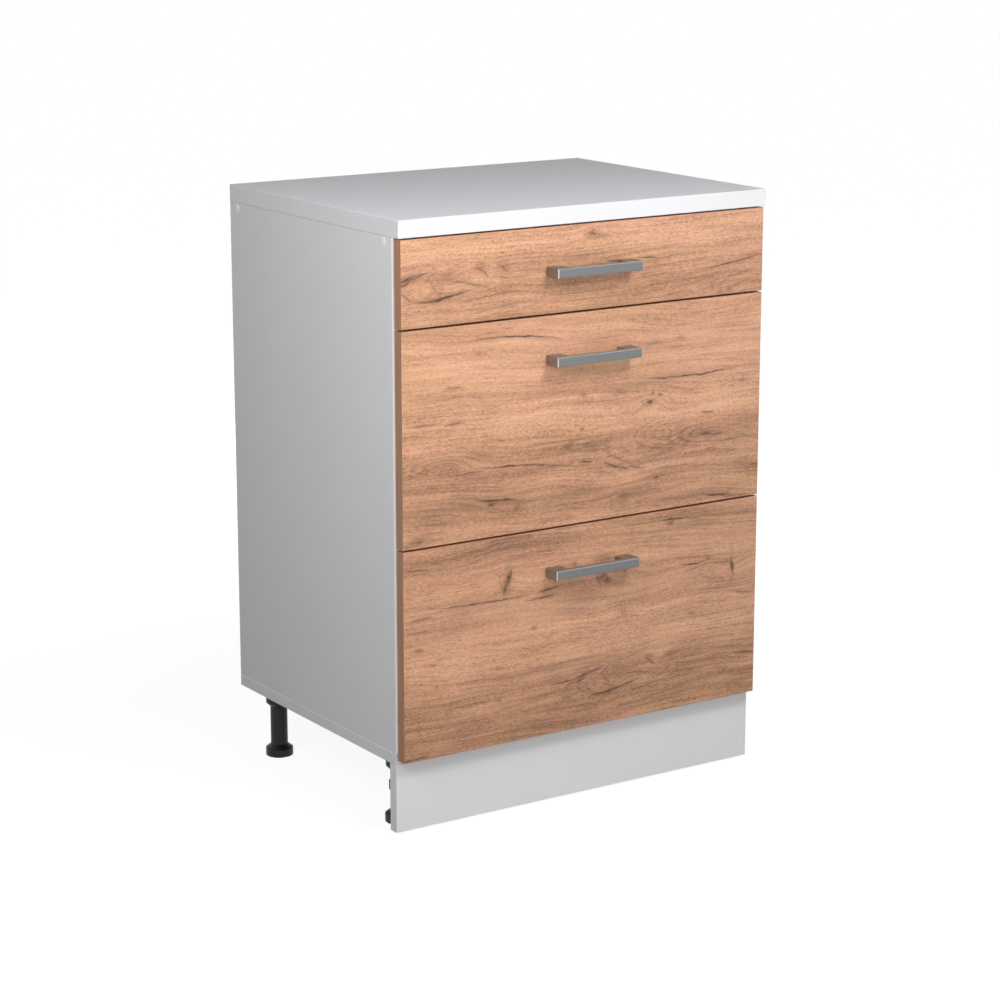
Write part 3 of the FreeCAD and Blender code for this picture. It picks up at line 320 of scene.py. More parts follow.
MIDDLE_FIGURE = {
    "cracks": [
        (-116, 672, 80, -0.086, -0.001, 1.6, 1), (166, 589, 92, -0.012, 0.0004, 1.9, 1),
        (62, 577, 44, -0.075, 0, 1.1, 0.6), (-267, 566, 26, -0.02, 0, 1.1, 0.9),
        (-216, 564, 18, 0.05, 0, 1.2, 0.9), (-102, 493.5, 82, -0.092, -0.0003, 1.8, 1),
        (-196, 494, 34, 0.02, 0, 1.1, 0.7), (-4, 486, 14, -0.05, 0, 1.6, 1),
        (50, 473, 24, -0.3, 0.003, 1.9, 0.9), (82, 469, 18, -0.2, 0, 1.4, 0.7),
        (30, 501, 44, -0.06, 0, 1.5, 0.6), (-146, 451, 36, -0.11, 0, 2.4, 1),
        (-216, 612, 18, -0.06, 0, 1.4, 0.8), (204, 532.5, 14, -0.06, 0, 1.1, 0.9),
        (224, 411, 28, -0.12, 0, 2, 1), (262, 405, 26, -0.1, 0, 1, 0.7), (112, 433, 16, -0.05, 0, 1, 0.6),
        (288, 446, 12, -0.08, 0, 1.1, 0.8), (-175, 595, 20, -0.15, 0.006, 1, 0.5),
        (40, 489, 26, -0.62, 0.004, 1.8, 0.35), (64, 478, 30, -0.42, 0.003, 1.8, 0.35),
        (24, 470, 34, -0.36, 0, 1.6, 0.3), (-60, 520, 60, 0.04, 0, 1.6, 0.3),
        (120, 492, 34, -0.08, 0, 1.4, 0.4), (250, 489, 50, 0.02, 0.0012, 1.8, 0.45),
        (110, 640, 20, 0, 0, 3, 0.3),
    ],
    "eyes": [
        (206, 503, 52, 18, -22), (66, 510, 60, 15, -16), (110, 560, 22, 11, -11), (-228, 514, 52, 14, -15),
        (-60, 468, 70, 16, -10), (64, 432, 30, 12, -8),
    ],
    "rings": [
        (204, 504, 74, 21, 200, 4, 0.3), (150, 512, 92, 30, 180, 6, 0.2), (16, 511, 62, 14, 190, 2, 0.26),
        (-236, 510, 70, 17, 215, 4, 0.22), (106, 560, 18, 10, 250, 2, 0.34),
        (90, 505, 90, 44, 235, 4, 0.16),
    ],
    "knots": [
        (105, 558, 6, 3.4, 0.85), (121, 567, 3, 2, 0.8), (109, 570, 2.4, 1.6, 0.7),
        (202, 502.5, 13, 2.6, 1.1), (222, 499, 10, 2, 0.7), (-158, 447, 6, 3, 0.95),
        (-274, 411, 12, 6, 0.55), (-290, 406, 8, 4, 0.5), (157, 643, 6, 3, 0.35), (61, 431, 7, 3, 0.6),
        (116, 450, 4, 2.2, 0.7), (265, 572, 6, 2.5, 0.5), (-8, 580, 4, 3, 0.4), (52, 579, 5, 2, 0.45),
        (-10, 533, 3, 2, 0.6), (-178, 654, 3.5, 2, 0.5), (-116, 438, 7, 5, 0.4),
    ],
    "stains": [
        (-180, 452, 90, 11, 0.62), (-30, 443, 80, 6, 0.62), (80, 432, 60, 6, 0.5), (180, 420, 80, 7, 0.5),
        (-176, 517, 24, 8, 0.5), (-240, 514, 34, 9, 0.36), (10, 508, 26, 6, 0.4), (70, 512, 70, 12, 0.26),
        (-10, 655, 90, 5, 0.3), (110, 640, 40, 4, 0.4), (0, 586, 90, 5, 0.4), (-250, 684, 60, 5, 0.3),
        (210, 503, 34, 9, 0.34), (110, 478, 40, 7, 0.3), (-270, 460, 50, 20, 0.2), (70, 585, 50, 5, 0.3),
    ],
    "pale": [
        (-60, 472, 60, 10, 0.12), (60, 456, 50, 8, 0.12), (-200, 630, 80, 22, 0.08),
        (180, 660, 80, 20, 0.06), (-220, 415, 60, 9, 0.1), (230, 545, 60, 14, 0.06),
    ],
    "band": (556, 22, 1),
}
BOTTOM_FIGURE = with_swirl(64, 157, {
    "cracks": [
        (-173, 312.5, 92, -0.015, 0.0003, 1.8, 1), (-64, 315, 24, 0.14, 0, 1.6, 0.9),
        (-76, 304.5, 32, 0.06, 0.0018, 1.5, 0.9), (-271, 304, 22, 0.03, 0, 1.1, 0.8),
        (148, 385, 24, -0.08, 0, 2.2, 0.9), (184, 381, 14, -0.05, 0, 1, 0.8),
        (184, 316, 26, -0.03, 0, 1.6, 1), (236, 310, 20, -0.1, 0, 1.5, 0.9),
        (190, 309, 30, 0.09, 0, 1, 0.8), (277, 259.5, 24, -0.12, 0, 1.5, 1),
        (278, 169, 24, -0.04, 0, 1.4, 0.9), (-280, 111, 24, 0.06, 0, 1.8, 0.9),
        (-284, 373, 30, -0.05, 0, 1, 0.8), (-133, 333, 7, 2.4, 0, 4, 0.7), (-128, 341, 5, 2.6, 0, 3.5, 0.9),
        (254, 302, 5, -2.6, 0, 4, 0.8), (30, 322, 10, -0.9, 0, 2.4, 0.6), (20, 316, 8, -1.6, 0, 2.4, 0.5),
        (-40, 206, 70, 0.03, 0, 2, 0.3), (-60, 128, 80, 0.04, 0, 1.4, 0.35),
        (120, 372, 90, -0.05, 0, 1.8, 0.35), (-160, 384, 90, -0.05, 0, 1.8, 0.35),
    ],
    "eyes": [
        (20, 318, 70, 18, -12), (-132, 338, 26, 18, -10), (255, 300, 36, 22, 12), (62, 266, 26, 12, -9),
        (0, 272, 30, 8, 6), (-270, 348, 40, 16, -8), (-250, 262, 40, 10, -6),
    ],
    "rings": [
        (24, 316, 34, 16, 250, 3, 0.28), (62, 267, 18, 12, 180, 3, 0.28), (-131, 338, 16, 18, 200, 2, 0.24),
        (236, 302, 60, 22, 190, 4, 0.18), (-268, 348, 46, 20, 240, 3, 0.18),
    ],
    "knots": [
        (-130, 341, 3.4, 6, 1), (-137, 328, 4, 7, 0.45), (24, 320, 7, 4, 0.7), (34, 313, 6, 4, 0.7),
        (27, 346, 12, 5, 0.5), (-22, 345, 4, 3, 0.5), (254, 302, 3.4, 4, 0.9), (183, 243, 5, 3, 0.4),
        (63, 266, 6, 4, 0.4), (-273, 261, 7, 2.4, 0.7), (142, 380, 5, 3, 0.8), (-88, 264, 3, 2, 0.7),
        (-146, 171, 4, 2.5, 0.45), (-97, 394, 4, 2.5, 0.6), (211, 320, 4, 3, 0.5),
    ],
    "stains": [
        (0, 300, 56, 16, 0.36), (-20, 284, 26, 10, 0.36), (-258, 181, 36, 5, 0.55), (190, 376, 44, 7, 0.45),
        (262, 384, 60, 7, 0.45), (-130, 384, 90, 7, 0.38), (240, 273, 50, 3, 0.45), (290, 225, 14, 6, 0.4),
        (-20, 202, 90, 6, 0.34), (150, 130, 120, 9, 0.32), (-60, 120, 90, 9, 0.3), (-200, 130, 90, 12, 0.2),
        (-150, 300, 60, 5, 0.3),
    ],
    "pale": [
        (-210, 230, 80, 26, 0.08), (-200, 338, 50, 14, 0.08), (120, 240, 120, 16, 0.06),
        (110, 340, 50, 12, 0.06),
    ],
    "band": (236, 26, 0.9),
})
FIGURES = {"top": TOP_FIGURE, "middle": MIDDLE_FIGURE, "bottom": BOTTOM_FIGURE}
GRAIN_LEAN = {"top": 0.02, "middle": -0.045, "bottom": -0.02}
# Pale and dark zones across the grain: height in mm and tone.
ZONES = {
    "top": [(697, 0.47), (718, 0.46), (750, 0.48), (775, 0.52), (790, 0.66), (814, 0.66)],
    "middle": [(402, 0.52), (420, 0.52), (440, 0.34), (465, 0.46), (515, 0.4), (538, 0.66), (560, 0.68),
               (590, 0.57), (622, 0.69), (660, 0.64), (694, 0.56)],
    "bottom": [(107, 0.34), (185, 0.4), (218, 0.65), (242, 0.68), (285, 0.57), (318, 0.54), (342, 0.64),
               (362, 0.55), (380, 0.4), (400, 0.4)],
}
WOOD_TONES = [(0, (0.31, 0.166, 0.094)), (0.18, (0.43, 0.231, 0.136)), (0.36, (0.57, 0.307, 0.184)),
              (0.52, (0.672, 0.366, 0.222)), (0.72, (0.768, 0.43, 0.262)), (1, (0.915, 0.54, 0.34))]
KNOT_BROWN = (0.17, 0.088, 0.052)
STAIN_BROWN = (0.31, 0.175, 0.104)
CRACK_BROWN = (0.075, 0.040, 0.026)
EDGE_TONES = [(0.30, (0.36, 0.19, 0.115)), (0.70, (0.50, 0.27, 0.165))]
EDGE_CELL = (90.0, 1.6, 90.0)
PLAIN = (1.0, 1.0, 1.0)
BLUSH_TINTS = ((0.985, 0.985, 0.955), (0.985, 0.955, 0.975))
FLECK_TINT = (1.0, 0.94, 0.91)
# Painted sheen: a greyer, bluer cast that grows towards the right of each front, standing in for a lamp's
# reflection.
PAINTED_SHEEN_TINT = (0.99, 1.01, 1.06)

# The print's noises: the cell's size in mm along and across the grain, its place in the third direction,
# and its detail and roughness where they aren't the usual ones. With no place given, a slanting one breaks
# long streaks up into dashes.
PRINT_NOISES = {
    "drift": (260, 75, 3.4, 1), "ripple": (60, 16, 9.3), "shake": (34, 22, 20.6), "fray": (7, 4, 23.4, 1),
    "broad": (280, 14, 1.7), "medium": (120, 4.4, 2.3, 3, 0.55), "fine": (26, 1.5, None, 2, 0.6),
    "flecks": (4.7, 0.9, None, 1), "mottle": (8.7, 2.2, None, 2, 0.6), "patches": (60, 40, 5.6),
    "clear growth": (90, 24, 12.4), "pores": (5.2, 1.7, None, 1), "blush": (170, 26, 33.7),
    "knot fray": (8, 3, 31.4), "crack gaps": (14, 50, 27.4, 1), "relief": (22, 1.2, None),
}
# These are laid along the growth lines, and the others level.
ALONG_GROWTH_LINES = ("broad", "medium", "fine", "blush")
# How many mm the first four noises move a place, and how far the others move the tone.
SWINGS = {"drift": 44.0, "ripple": 4.5, "shake": 5.0, "fray": 1.8,
          "broad": 0.60, "medium": 0.80, "fine": 0.40, "flecks": 1.05, "mottle": 0.30, "patches": 0.30}
SLANT_SLOPE = 0.31
SLANT_MM = 11.0
# Growth lines: spacing and wobble in mm, how sharp the dark side is, and its depth.
GROWTH_SPACING = 6.5
GROWTH_WOBBLE = 9.0
GROWTH_SHARPNESS = 2.5
GROWTH_DEPTH = 0.32
# The band of open pores: its soft edge in mm, the pores' depth and the paler ground between them.
BAND_FADE = 14.0
PORE_DEPTH = 0.30
BAND_PALE = 0.07
STAIN_STRENGTH = 0.85
CRACK_BORDER_STRENGTH = 0.36
KNOT_HALO_STRENGTH = 0.26
CRACK_STRENGTH = 0.94


def oak_material(drawer):
    """Oak print with sideways grain; the figure's places follow the drawer's own list."""
    figure = FIGURES[drawer]
    t = Finish(f"oak_laminate_{drawer}", Specular_IOR_Level=0.25)
    point = t.split(t.place_mm())
    x, z = point["X"], point["Z"]
    flat = t.join(x, 0.0, z)
    slant = t.over(t.plus(z, t.times(x, SLANT_SLOPE)), SLANT_MM)

    def grain(name):
        along, across, place, *quality = PRINT_NOISES[name]
        height = w if name in ALONG_GROWTH_LINES else z
        where = t.join(t.over(x, along), slant if place is None else place, t.over(height, across))
        return t.noise(where, *quality)

    def moved_by(name):
        return t.swing(grain(name), SWINGS[name])

    def shape(group, where, a, b, **inputs):
        """One oval, ring or crack of the figure, with its middle at a, b."""
        given = {"Point": where, "Centre": (a, 0.0, b)}
        given.update({name.replace("_", " "): value for name, value in inputs.items()})
        return t.node("ShaderNodeGroup", given, node_tree=group).outputs

    def spots(features):
        """Sum of the ovals, each times its last number."""
        return t.fold("ADD", [t.times(shape(SPOT, flat, a, b, Radius=(wide, 1.0, tall))["Fall"], amount)
                              for a, b, wide, tall, amount in features])

    def tinted(colour, amount, low, high):
        return t.mix(1.0, colour, t.mix(amount, low, high), "MULTIPLY")

    # The grain's height: level lines of w are the growth lines.
    drift = moved_by("drift")
    lean = t.times(x, -GRAIN_LEAN[drawer])
    w = t.plus(t.plus(z, lean), t.plus(drift, moved_by("ripple")))
    w = t.plus(w, spots(figure["eyes"]))

    zones = ZONES[drawer]
    low, high = zones[0][0], zones[-1][0]
    shifted = t.plus(z, t.times(drift, 0.5))
    zone_ramp = [((level - low) / (high - low), (tone, tone, tone)) for level, tone in zones]
    tone = t.split(t.ramp(t.remap(shifted, low, high), zone_ramp))["X"]
    medium, fine, flecks = grain("medium"), grain("fine"), grain("flecks")
    tone = t.fold("ADD", [tone, moved_by("broad"), t.swing(medium, SWINGS["medium"]),
                          t.swing(fine, SWINGS["fine"]), t.swing(flecks, SWINGS["flecks"]),
                          moved_by("mottle"), moved_by("patches"), spots(figure["pale"])])

    # Growth lines: thin and dark on one side, fading on the other, and strong only in places.
    season = t.math("FRACT", t.over(t.plus(w, t.times(medium, GROWTH_WOBBLE)), GROWTH_SPACING))
    late = t.math("POWER", season, GROWTH_SHARPNESS)
    strong = t.remap(grain("clear growth"), 0.42, 0.66)
    tone = t.minus(tone, t.times(t.times(late, strong), GROWTH_DEPTH))

    # Rings and cracks are drawn on a slightly shaken point, so that their edges aren't smooth.
    shake = moved_by("shake")
    shaken = t.join(t.plus(x, shake), 0.0, t.plus(z, t.plus(shake, moved_by("fray"))))
    for a, b, radius_x, radius_z, facing_angle, count, depth in figure["rings"]:
        angle = math.radians(facing_angle)
        ring = shape(RING, shaken, a, b, Radius=(radius_x, 1.0, radius_z), Count=count,
                     Facing=(math.cos(angle), 0.0, math.sin(angle)))
        tone = t.minus(tone, t.times(ring["Line"], depth))

    # A band of short open pores.
    middle, half, strength = figure["band"]
    away = t.math("ABSOLUTE", t.minus(shifted, middle))
    band = t.remap(away, half, half + BAND_FADE, strength, 0.0, smooth=True)
    pores = t.remap(grain("pores"), 0.52, 0.70)
    tone = t.minus(tone, t.times(t.times(pores, band), PORE_DEPTH))
    tone = t.plus(tone, t.times(band, BAND_PALE))

    colour = t.ramp(tone, WOOD_TONES)
    colour = tinted(colour, t.remap(grain("blush"), 0.40, 0.60), *BLUSH_TINTS)
    colour = tinted(colour, t.remap(flecks, 0.36, 0.50, 1.0, 0.0), PLAIN, FLECK_TINT)
    # Painted sheen: the colour turns greyer and bluer towards the right.
    colour = tinted(colour, t.remap(x, -150.0, 300.0), PLAIN, PAINTED_SHEEN_TINT)

    # Grey brown stains, broken up by the grain.
    grainy = t.remap(medium, 0.32, 0.66, 1.35, 0.35)
    stain = t.times(spots(figure["stains"]), grainy, clamp=True)
    colour = t.mix(t.times(stain, STAIN_STRENGTH), colour, STAIN_BROWN)

    cores, borders = [], []
    for a, b, half_length, slope, bend, half_width, depth in figure["cracks"]:
        crack = shape(CRACK, shaken, a, b, Half_length=half_length, Slope=slope, Bend=bend,
                      Half_width=half_width * math.hypot(1.0, slope))
        cores.append(t.times(crack["Core"], depth))
        borders.append(t.times(crack["Border"], min(1.0, depth + 0.1)))
    knots = spots(figure["knots"])
    frayed = t.times(knots, t.remap(grain("knot fray"), 0.34, 0.62, 0.35, 1.4))
    halo = t.math("POWER", t.larger(knots, 0.0), 0.25)
    colour = t.mix(t.times(t.fold("MAXIMUM", borders), CRACK_BORDER_STRENGTH), colour, STAIN_BROWN)
    colour = t.mix(t.times(halo, KNOT_HALO_STRENGTH, clamp=True), colour, STAIN_BROWN)
    colour = t.mix(t.times(frayed, 1.0, clamp=True), colour, KNOT_BROWN)
    uneven = t.remap(grain("crack gaps"), 0.35, 0.60, 0.55, 1.0)
    deep = t.remap(t.fold("MAXIMUM", cores), 0.05, 0.75, 0.0, CRACK_STRENGTH)
    colour = t.mix(t.times(deep, uneven), colour, CRACK_BROWN)

    # The edge bands have a plainer print, with its grain along the band.
    streak = t.noise(t.vector("DIVIDE", t.place_mm(), EDGE_CELL))
    colour = t.mix(facing(t, ("+X", "-X", "+Z", "-Z")), colour, t.ramp(streak, EDGE_TONES))
    relief = t.minus(grain("relief"), t.times(pores, 0.3))
    return t.coat(relief, 0.35, 0.2 * MM, Base_Color=colour, Roughness=t.between(fine, 0.46, 0.58))


# ---- the other finishes ----

WHITE = (0.835, 0.842, 0.858)
# The plinth's white laminate is painted lighter than the other boards' to stand in for light on it.
PLINTH_PAINTED_LIGHTER_WHITE = (0.90, 0.905, 0.915)
WORKTOP_WHITE = (0.90, 0.895, 0.91)
WORKTOP_TOP_WHITE = (0.935, 0.918, 0.965)
WORKTOP_JOINT = 816.0  # height in mm at which the side panels meet the worktop
# The colour of the painted shade line on the side panels just under the worktop joint.
JOINT_SHADE_GREY = (0.12, 0.12, 0.12)
RAW_EDGE_TONES = [(0.25, (0.30, 0.19, 0.10)), (0.45, (0.47, 0.33, 0.19)), (0.60, (0.60, 0.45, 0.28)),
                  (0.75, (0.70, 0.56, 0.38))]
FIBRE_TONES = [(0.30, (0.24, 0.14, 0.075)), (0.55, (0.34, 0.21, 0.115)), (0.75, (0.43, 0.28, 0.16))]
# Painted reflections on the handle metal: a darker front, a paler body, and painted highlights on the
# chamfers.
HANDLE_FRONT = ((0.165, 0.170, 0.174), (0.205, 0.210, 0.214))
HANDLE_BODY = ((0.27, 0.27, 0.275), (0.33, 0.33, 0.335))
HANDLE_LONG_CHAMFER_HIGHLIGHT = (0.32, 0.33, 0.34)
HANDLE_END_CHAMFER_HIGHLIGHT = (0.62, 0.63, 0.64)
BRUSH_CELL = (60.0, 0.35, 0.35)
CAP_TONES = ((0.94, 0.95, 0.96), (0.97, 0.98, 0.99))
# Painted shade on the rims of the screw cover caps.
CAP_RIM_SHADE = (0.40, 0.40, 0.41)
BUMPER_TONES = ((0.70, 0.71, 0.72), (0.76, 0.77, 0.78))


def chipboard_colour(t, point):
    """Pressed wood chips on a sawn edge."""
    flattened = t.vector("MULTIPLY", point, (0.42, 0.42, 0.75))
    chips = t.node("ShaderNodeTexVoronoi", {"Vector": flattened, "Scale": 1.0, "Randomness": 1.0})
    chip = t.split(chips.outputs["Color"])["X"]
    dust_and_joint_shade = t.noise(point, 3.0, 0.7, scale=1.6)
    return t.ramp(t.plus(t.times(chip, 0.55), t.times(dust_and_joint_shade, 0.45)), RAW_EDGE_TONES)


def facing(t, directions):
    """1 on faces that look along one of the given directions, such as "+Y", else 0."""
    normal = t.split(t.normal())
    signed = [t.times(normal[axis], 1.0 if sign == "+" else -1.0) for sign, axis in directions]
    return t.fold("MAXIMUM", [t.math("GREATER_THAN", along, 0.7) for along in signed])


def steepness(t):
    """The normal's three parts without their signs."""
    return t.split(t.vector("ABSOLUTE", t.normal()))


def chamfers(t):
    """1 on slanted faces, 0 on the ones that look along an axis."""
    normal = steepness(t)
    square = t.larger(normal["X"], t.larger(normal["Y"], normal["Z"]))
    return t.remap(square, 0.97, 0.90)


def laminate_material(name, colour, raw=(), roughness=0.42, pebble=0.10, specular=0.4, top=None,
                      joint=None, corner=None):
    """White melamine with a fine pebble; raw edges are chipboard, and a painted shade line darkens the side
    faces just under a joint.

    A corner colour paints a highlight on the eased corners."""
    t = Finish(name, Specular_IOR_Level=specular)
    point = t.place_mm()
    cloud = t.noise(point, scale=0.012)
    tint = t.mix(t.between(cloud, 0.0, 0.5), colour, tuple(c * 0.965 for c in colour))
    shine = t.between(t.noise(point, scale=0.9), roughness - 0.05, roughness + 0.06)
    if top:
        tint = t.mix(facing(t, ("+Z",)), tint, top)
    if corner:
        # Painted highlight: the chamfers take the corner colour.
        tint = t.mix(chamfers(t), tint, corner)
    if joint:
        # Painted shade: a thin dark line on the side faces just below the joint, standing in for the shadow
        # under the proud band above.
        dust_and_joint_shade = t.remap(t.split(point)["Z"], joint - 0.9, joint - 0.6, 0.0, 0.40)
        tint = t.mix(t.times(dust_and_joint_shade, facing(t, ("+X", "-X"))), tint, JOINT_SHADE_GREY)
    if raw:
        bare = facing(t, raw)
        tint = t.mix(bare, tint, chipboard_colour(t, point))
        shine = t.larger(shine, t.times(bare, 0.9))
    relief = t.noise(point, 2.0, 0.6, scale=1.1)
    return t.coat(relief, pebble, 0.15 * MM, Base_Color=tint, Roughness=shine)


def fibreboard_material(name, brown_side):
    """Thin fibreboard: painted white on the face that shows inside, bare brown on the other."""
    t = Finish(name, Specular_IOR_Level=0.3)
    bare = facing(t, brown_side)
    fibre = t.noise(t.place_mm(), 4.0, 0.7, 0.6, scale=0.55)
    paint = t.mix(t.remap(fibre, 0.4, 0.7), (0.80, 0.81, 0.81), (0.77, 0.78, 0.785))
    colour = t.mix(bare, paint, t.ramp(fibre, FIBRE_TONES))
    return t.coat(fibre, 0.15, 0.2 * MM, Base_Color=colour, Roughness=t.remap(bare, 0.0, 1.0, 0.5, 0.78))


def satin_metal_material():
    """Handle metal, brushed, with painted reflections: a darker front face, a paler body, and painted
    highlights on the narrow chamfers, brightest at the ends.
    """
    t = Finish("handle_metal")
    brushed = t.noise(t.vector("DIVIDE", t.place_mm(), BRUSH_CELL), 3.0)
    upright = t.math("GREATER_THAN", steepness(t)["X"], 0.4)
    outward = facing(t, ("-Y",))
    # Painted reflection: the front face is darker than the body.
    colour = t.mix(outward, t.tones(brushed, *HANDLE_BODY), t.tones(brushed, *HANDLE_FRONT))
    # Painted highlights: the chamfers are paler, most of all the upright ones at the ends.
    colour = t.mix(chamfers(t), colour, t.mix(upright, HANDLE_LONG_CHAMFER_HIGHLIGHT, HANDLE_END_CHAMFER_HIGHLIGHT))
    return t.coat(brushed, 0.05, 0.1 * MM, Base_Color=colour, Metallic=t.remap(outward, 0.0, 1.0, 0.85, 0.0),
                  Roughness=t.between(brushed, 0.30, 0.42))


def black_plastic_material():
    """Moulded black plastic with a fine spark-eroded grain."""
    t = Finish("black_plastic", Specular_IOR_Level=0.3)
    grain = t.noise(t.place_mm(), 2.0, 0.6, scale=1.8)
    black = t.tones(grain, (0.004, 0.004, 0.0045), (0.008, 0.008, 0.0085))
    return t.coat(grain, 0.12, 0.2 * MM, Base_Color=black, Roughness=t.between(grain, 0.40, 0.52))


def zinc_material():
    """Bright zinc plating: pale metal with soft spangles and a slightly blue cast."""
    t = Finish("zinc_steel", Metallic=1.0)
    point = t.place_mm()
    spangle = t.noise(point, 3.0, 0.6, scale=0.16)
    scratch = t.noise(t.vector("MULTIPLY", point, (2.4, 0.05, 2.4)))
    tone = t.plus(t.times(spangle, 0.6), t.times(scratch, 0.4))
    zinc = t.tones(tone, (0.50, 0.52, 0.54), (0.66, 0.68, 0.69))
    return t.coat(scratch, 0.04, 0.1 * MM, Base_Color=zinc, Roughness=t.between(tone, 0.24, 0.42))


def runner_steel_material(name, colour, roughness):
    """Hardened steel with a thin film of grease."""
    t = Finish(name, Metallic=1.0)
    film = t.noise(t.place_mm(), scale=0.5)
    greased = t.mix(film, colour, tuple(c * 0.8 for c in colour))
    return t.coat(Base_Color=greased, Roughness=t.between(film, roughness, roughness + 0.12))


def gloss_plastic_material(name, tones, roughness, rim=None):
    """Glossy plastic with a barely uneven colour, and a painted shade on the rim round a dome that looks
    along X.
    """
    t = Finish(name, Specular_IOR_Level=0.5)
    cloud = t.noise(t.place_mm(), scale=0.4)
    colour = t.tones(cloud, *tones)
    if rim:
        # Painted shade: a grey ring where the dome's face turns away from X.
        colour = t.mix(t.remap(steepness(t)["X"], 0.80, 0.93), rim, colour)
    return t.coat(Base_Color=colour, Roughness=t.between(cloud, roughness, roughness + 0.08))


def dress(node, material):
    """Gives every material slot of a carried-over node the finished material."""
    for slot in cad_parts[node].material_slots:
        slot.material = material


def finish_nodes():
    board = laminate_material("white_laminate", WHITE)
    upright = laminate_material("white_laminate_upright", WHITE, ("+Y", "+Z", "-Z"), joint=WORKTOP_JOINT)
    rail = laminate_material("white_laminate_rail", WHITE, ("+Y", "+X", "-X"))
    drawer_bottom = fibreboard_material("fibreboard_bottom", ("-Z",))
    black = black_plastic_material()
    metal = satin_metal_material()
    zinc = zinc_material()
    single = {
        "side_panel_left": upright,
        "side_panel_right": upright,
        "front_top_rail": rail,
        "rear_top_rail": rail,
        "bottom_panel": laminate_material("white_laminate_level", WHITE, ("+Y",)),
        # Painted light: a lighter copy of the white laminate for the plinth.
        "plinth_board": laminate_material("white_laminate_plinth_painted_lighter", PLINTH_PAINTED_LIGHTER_WHITE),
        "worktop": laminate_material("worktop_laminate", WORKTOP_WHITE, ("+Y",), 0.45, 0.16, 0.15,
                                     top=WORKTOP_TOP_WHITE),
        "back_panel": fibreboard_material("fibreboard_back", ("+Y",)),
        "screw_cover_caps": gloss_plastic_material("white_plastic", CAP_TONES, 0.22, rim=CAP_RIM_SHADE),
    }
    for drawer in DRAWERS:
        single[f"{drawer}_drawer_front"] = oak_material(drawer)
    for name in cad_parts:
        if name in single:
            dress(name, single[name])
        elif name.startswith(("leg_", "foot_", "plinth_clips")):
            dress(name, black)
        elif "_runner_" in name or "screws" in name or "fasteners" in name:
            dress(name, zinc)
        elif name.endswith("_drawer_handle"):
            dress(name, metal)
        elif name.endswith("_drawer_bottom"):
            dress(name, drawer_bottom)
        else:
            dress(name, board)


finish_nodes()


# ---- pieces made here ----

SHARP_ANGLE = math.radians(32.0)
WELD = 0.004 * MM
TOUCH = 0.02 * MM
STEP = 0.05 * MM

# Profiles: shares of the head's radius and of its height.
PAN_HEAD = ((0.0, 0.0), (0.35, -0.02), (0.66, -0.14), (0.88, -0.38), (1.0, -0.80), (1.0, -1.0))
# Cam discs are the widest fasteners; a bolt's ends are alike.
CAM_RADIUS = 7.0 * MM
BOLT_DIFFERENCE = 0.2 * MM
PAN_SHARE = 0.6
# A thread's ridge: share of the pitch and of the radius. The rest are shares of the radius.
THREAD_RIDGE = ((0.35, 0.74), (0.60, 1.0), (0.85, 0.74))
NECK_SHARE = 0.72
TIP_SHARE = 0.70
TIP_LENGTH = 1.2
SCREW_PITCH = 0.9
BOLT_PITCH = 0.55
CUTTER_TOP = 1.0 * MM
CUTTER_TAPER = 0.55
CAM_DRIVE_DEPTH = 3.2 * MM
BOLT_WAIST = 0.62

RUNNER_STEEL = 1.2 * MM
BALL_SPACING = 11.0 * MM
BALL_PLAY = 0.15 * MM
CAGE_HALF = 0.3 * MM
CAGE_PLAY = 0.4 * MM
# Where the cages start and end, in metres from the middle member's rear and front end.
REAR_CAGE = (0.182, 0.010)
FRONT_CAGE = (0.008, 0.184)

BUMPER_RADIUS = 4.0 * MM
BUMPER_INSET = 12.0 * MM
BUMPER_SHARE = 0.97

BAND_BEDDED = 0.6 * MM
# Board, material slot, how far the band stands out, how far it stops short of the corners, its chamfer.
BOARD_BANDS = (("worktop", "worktop_laminate", 0.8 * MM, 0.1 * MM, 0.75 * MM),
               ("bottom_panel", "white_laminate", 0.4 * MM, 0.25 * MM, 0.35 * MM))
# The band on a side panel's front edge: how far it stands out, stops short of the ends and of the faces.
FRONT_PROUD = 1.0 * MM
FRONT_INSET = 0.25 * MM
FRONT_LAP = 0.02 * MM
FRONT_EASE = 0.95 * MM


def add_object(name, data):
    made = bpy.data.objects.new(name, data)
    bpy.context.collection.objects.link(made)
    return made


def put(name, mesh, body, material, replaced=()):
    """A piece of the object that moves with a body of the frame."""
    mesh.materials.append(material)
    piece = add_object(name, mesh)
    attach(piece, body)
    if replaced:
        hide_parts(*replaced)


def smooth(mesh):
    mesh.shade_smooth()
    mesh.set_sharp_from_angle(angle=SHARP_ANGLE)


def finished_mesh(name, shape, rounded=True):
    bmesh.ops.recalc_face_normals(shape, faces=shape.faces)
    mesh = bpy.data.meshes.new(name)
    shape.to_mesh(mesh)
    shape.free()
    if rounded:
        smooth(mesh)
    return mesh


def lathe(profile, segments=24):
    """A list of (radius, height) turned round Z, as a new bmesh; radius 0 makes a pole."""
    shape = bmesh.new()
    rings = []
    for radius, height in profile:
        if radius == 0.0:
            rings.append([shape.verts.new((0.0, 0.0, height))])
            continue
        turns = [2.0 * math.pi * step / segments for step in range(segments)]
        rings.append([shape.verts.new((radius * math.cos(a), radius * math.sin(a), height)) for a in turns])
    for low, high in zip(rings, rings[1:]):
        for step in range(segments):
            following = (step + 1) % segments
            corners = [low[step % len(low)], low[following % len(low)],
                       high[following % len(high)], high[step % len(high)]]
            corners = list(dict.fromkeys(corners))
            if len(corners) > 2:
                shape.faces.new(corners)
    return shape


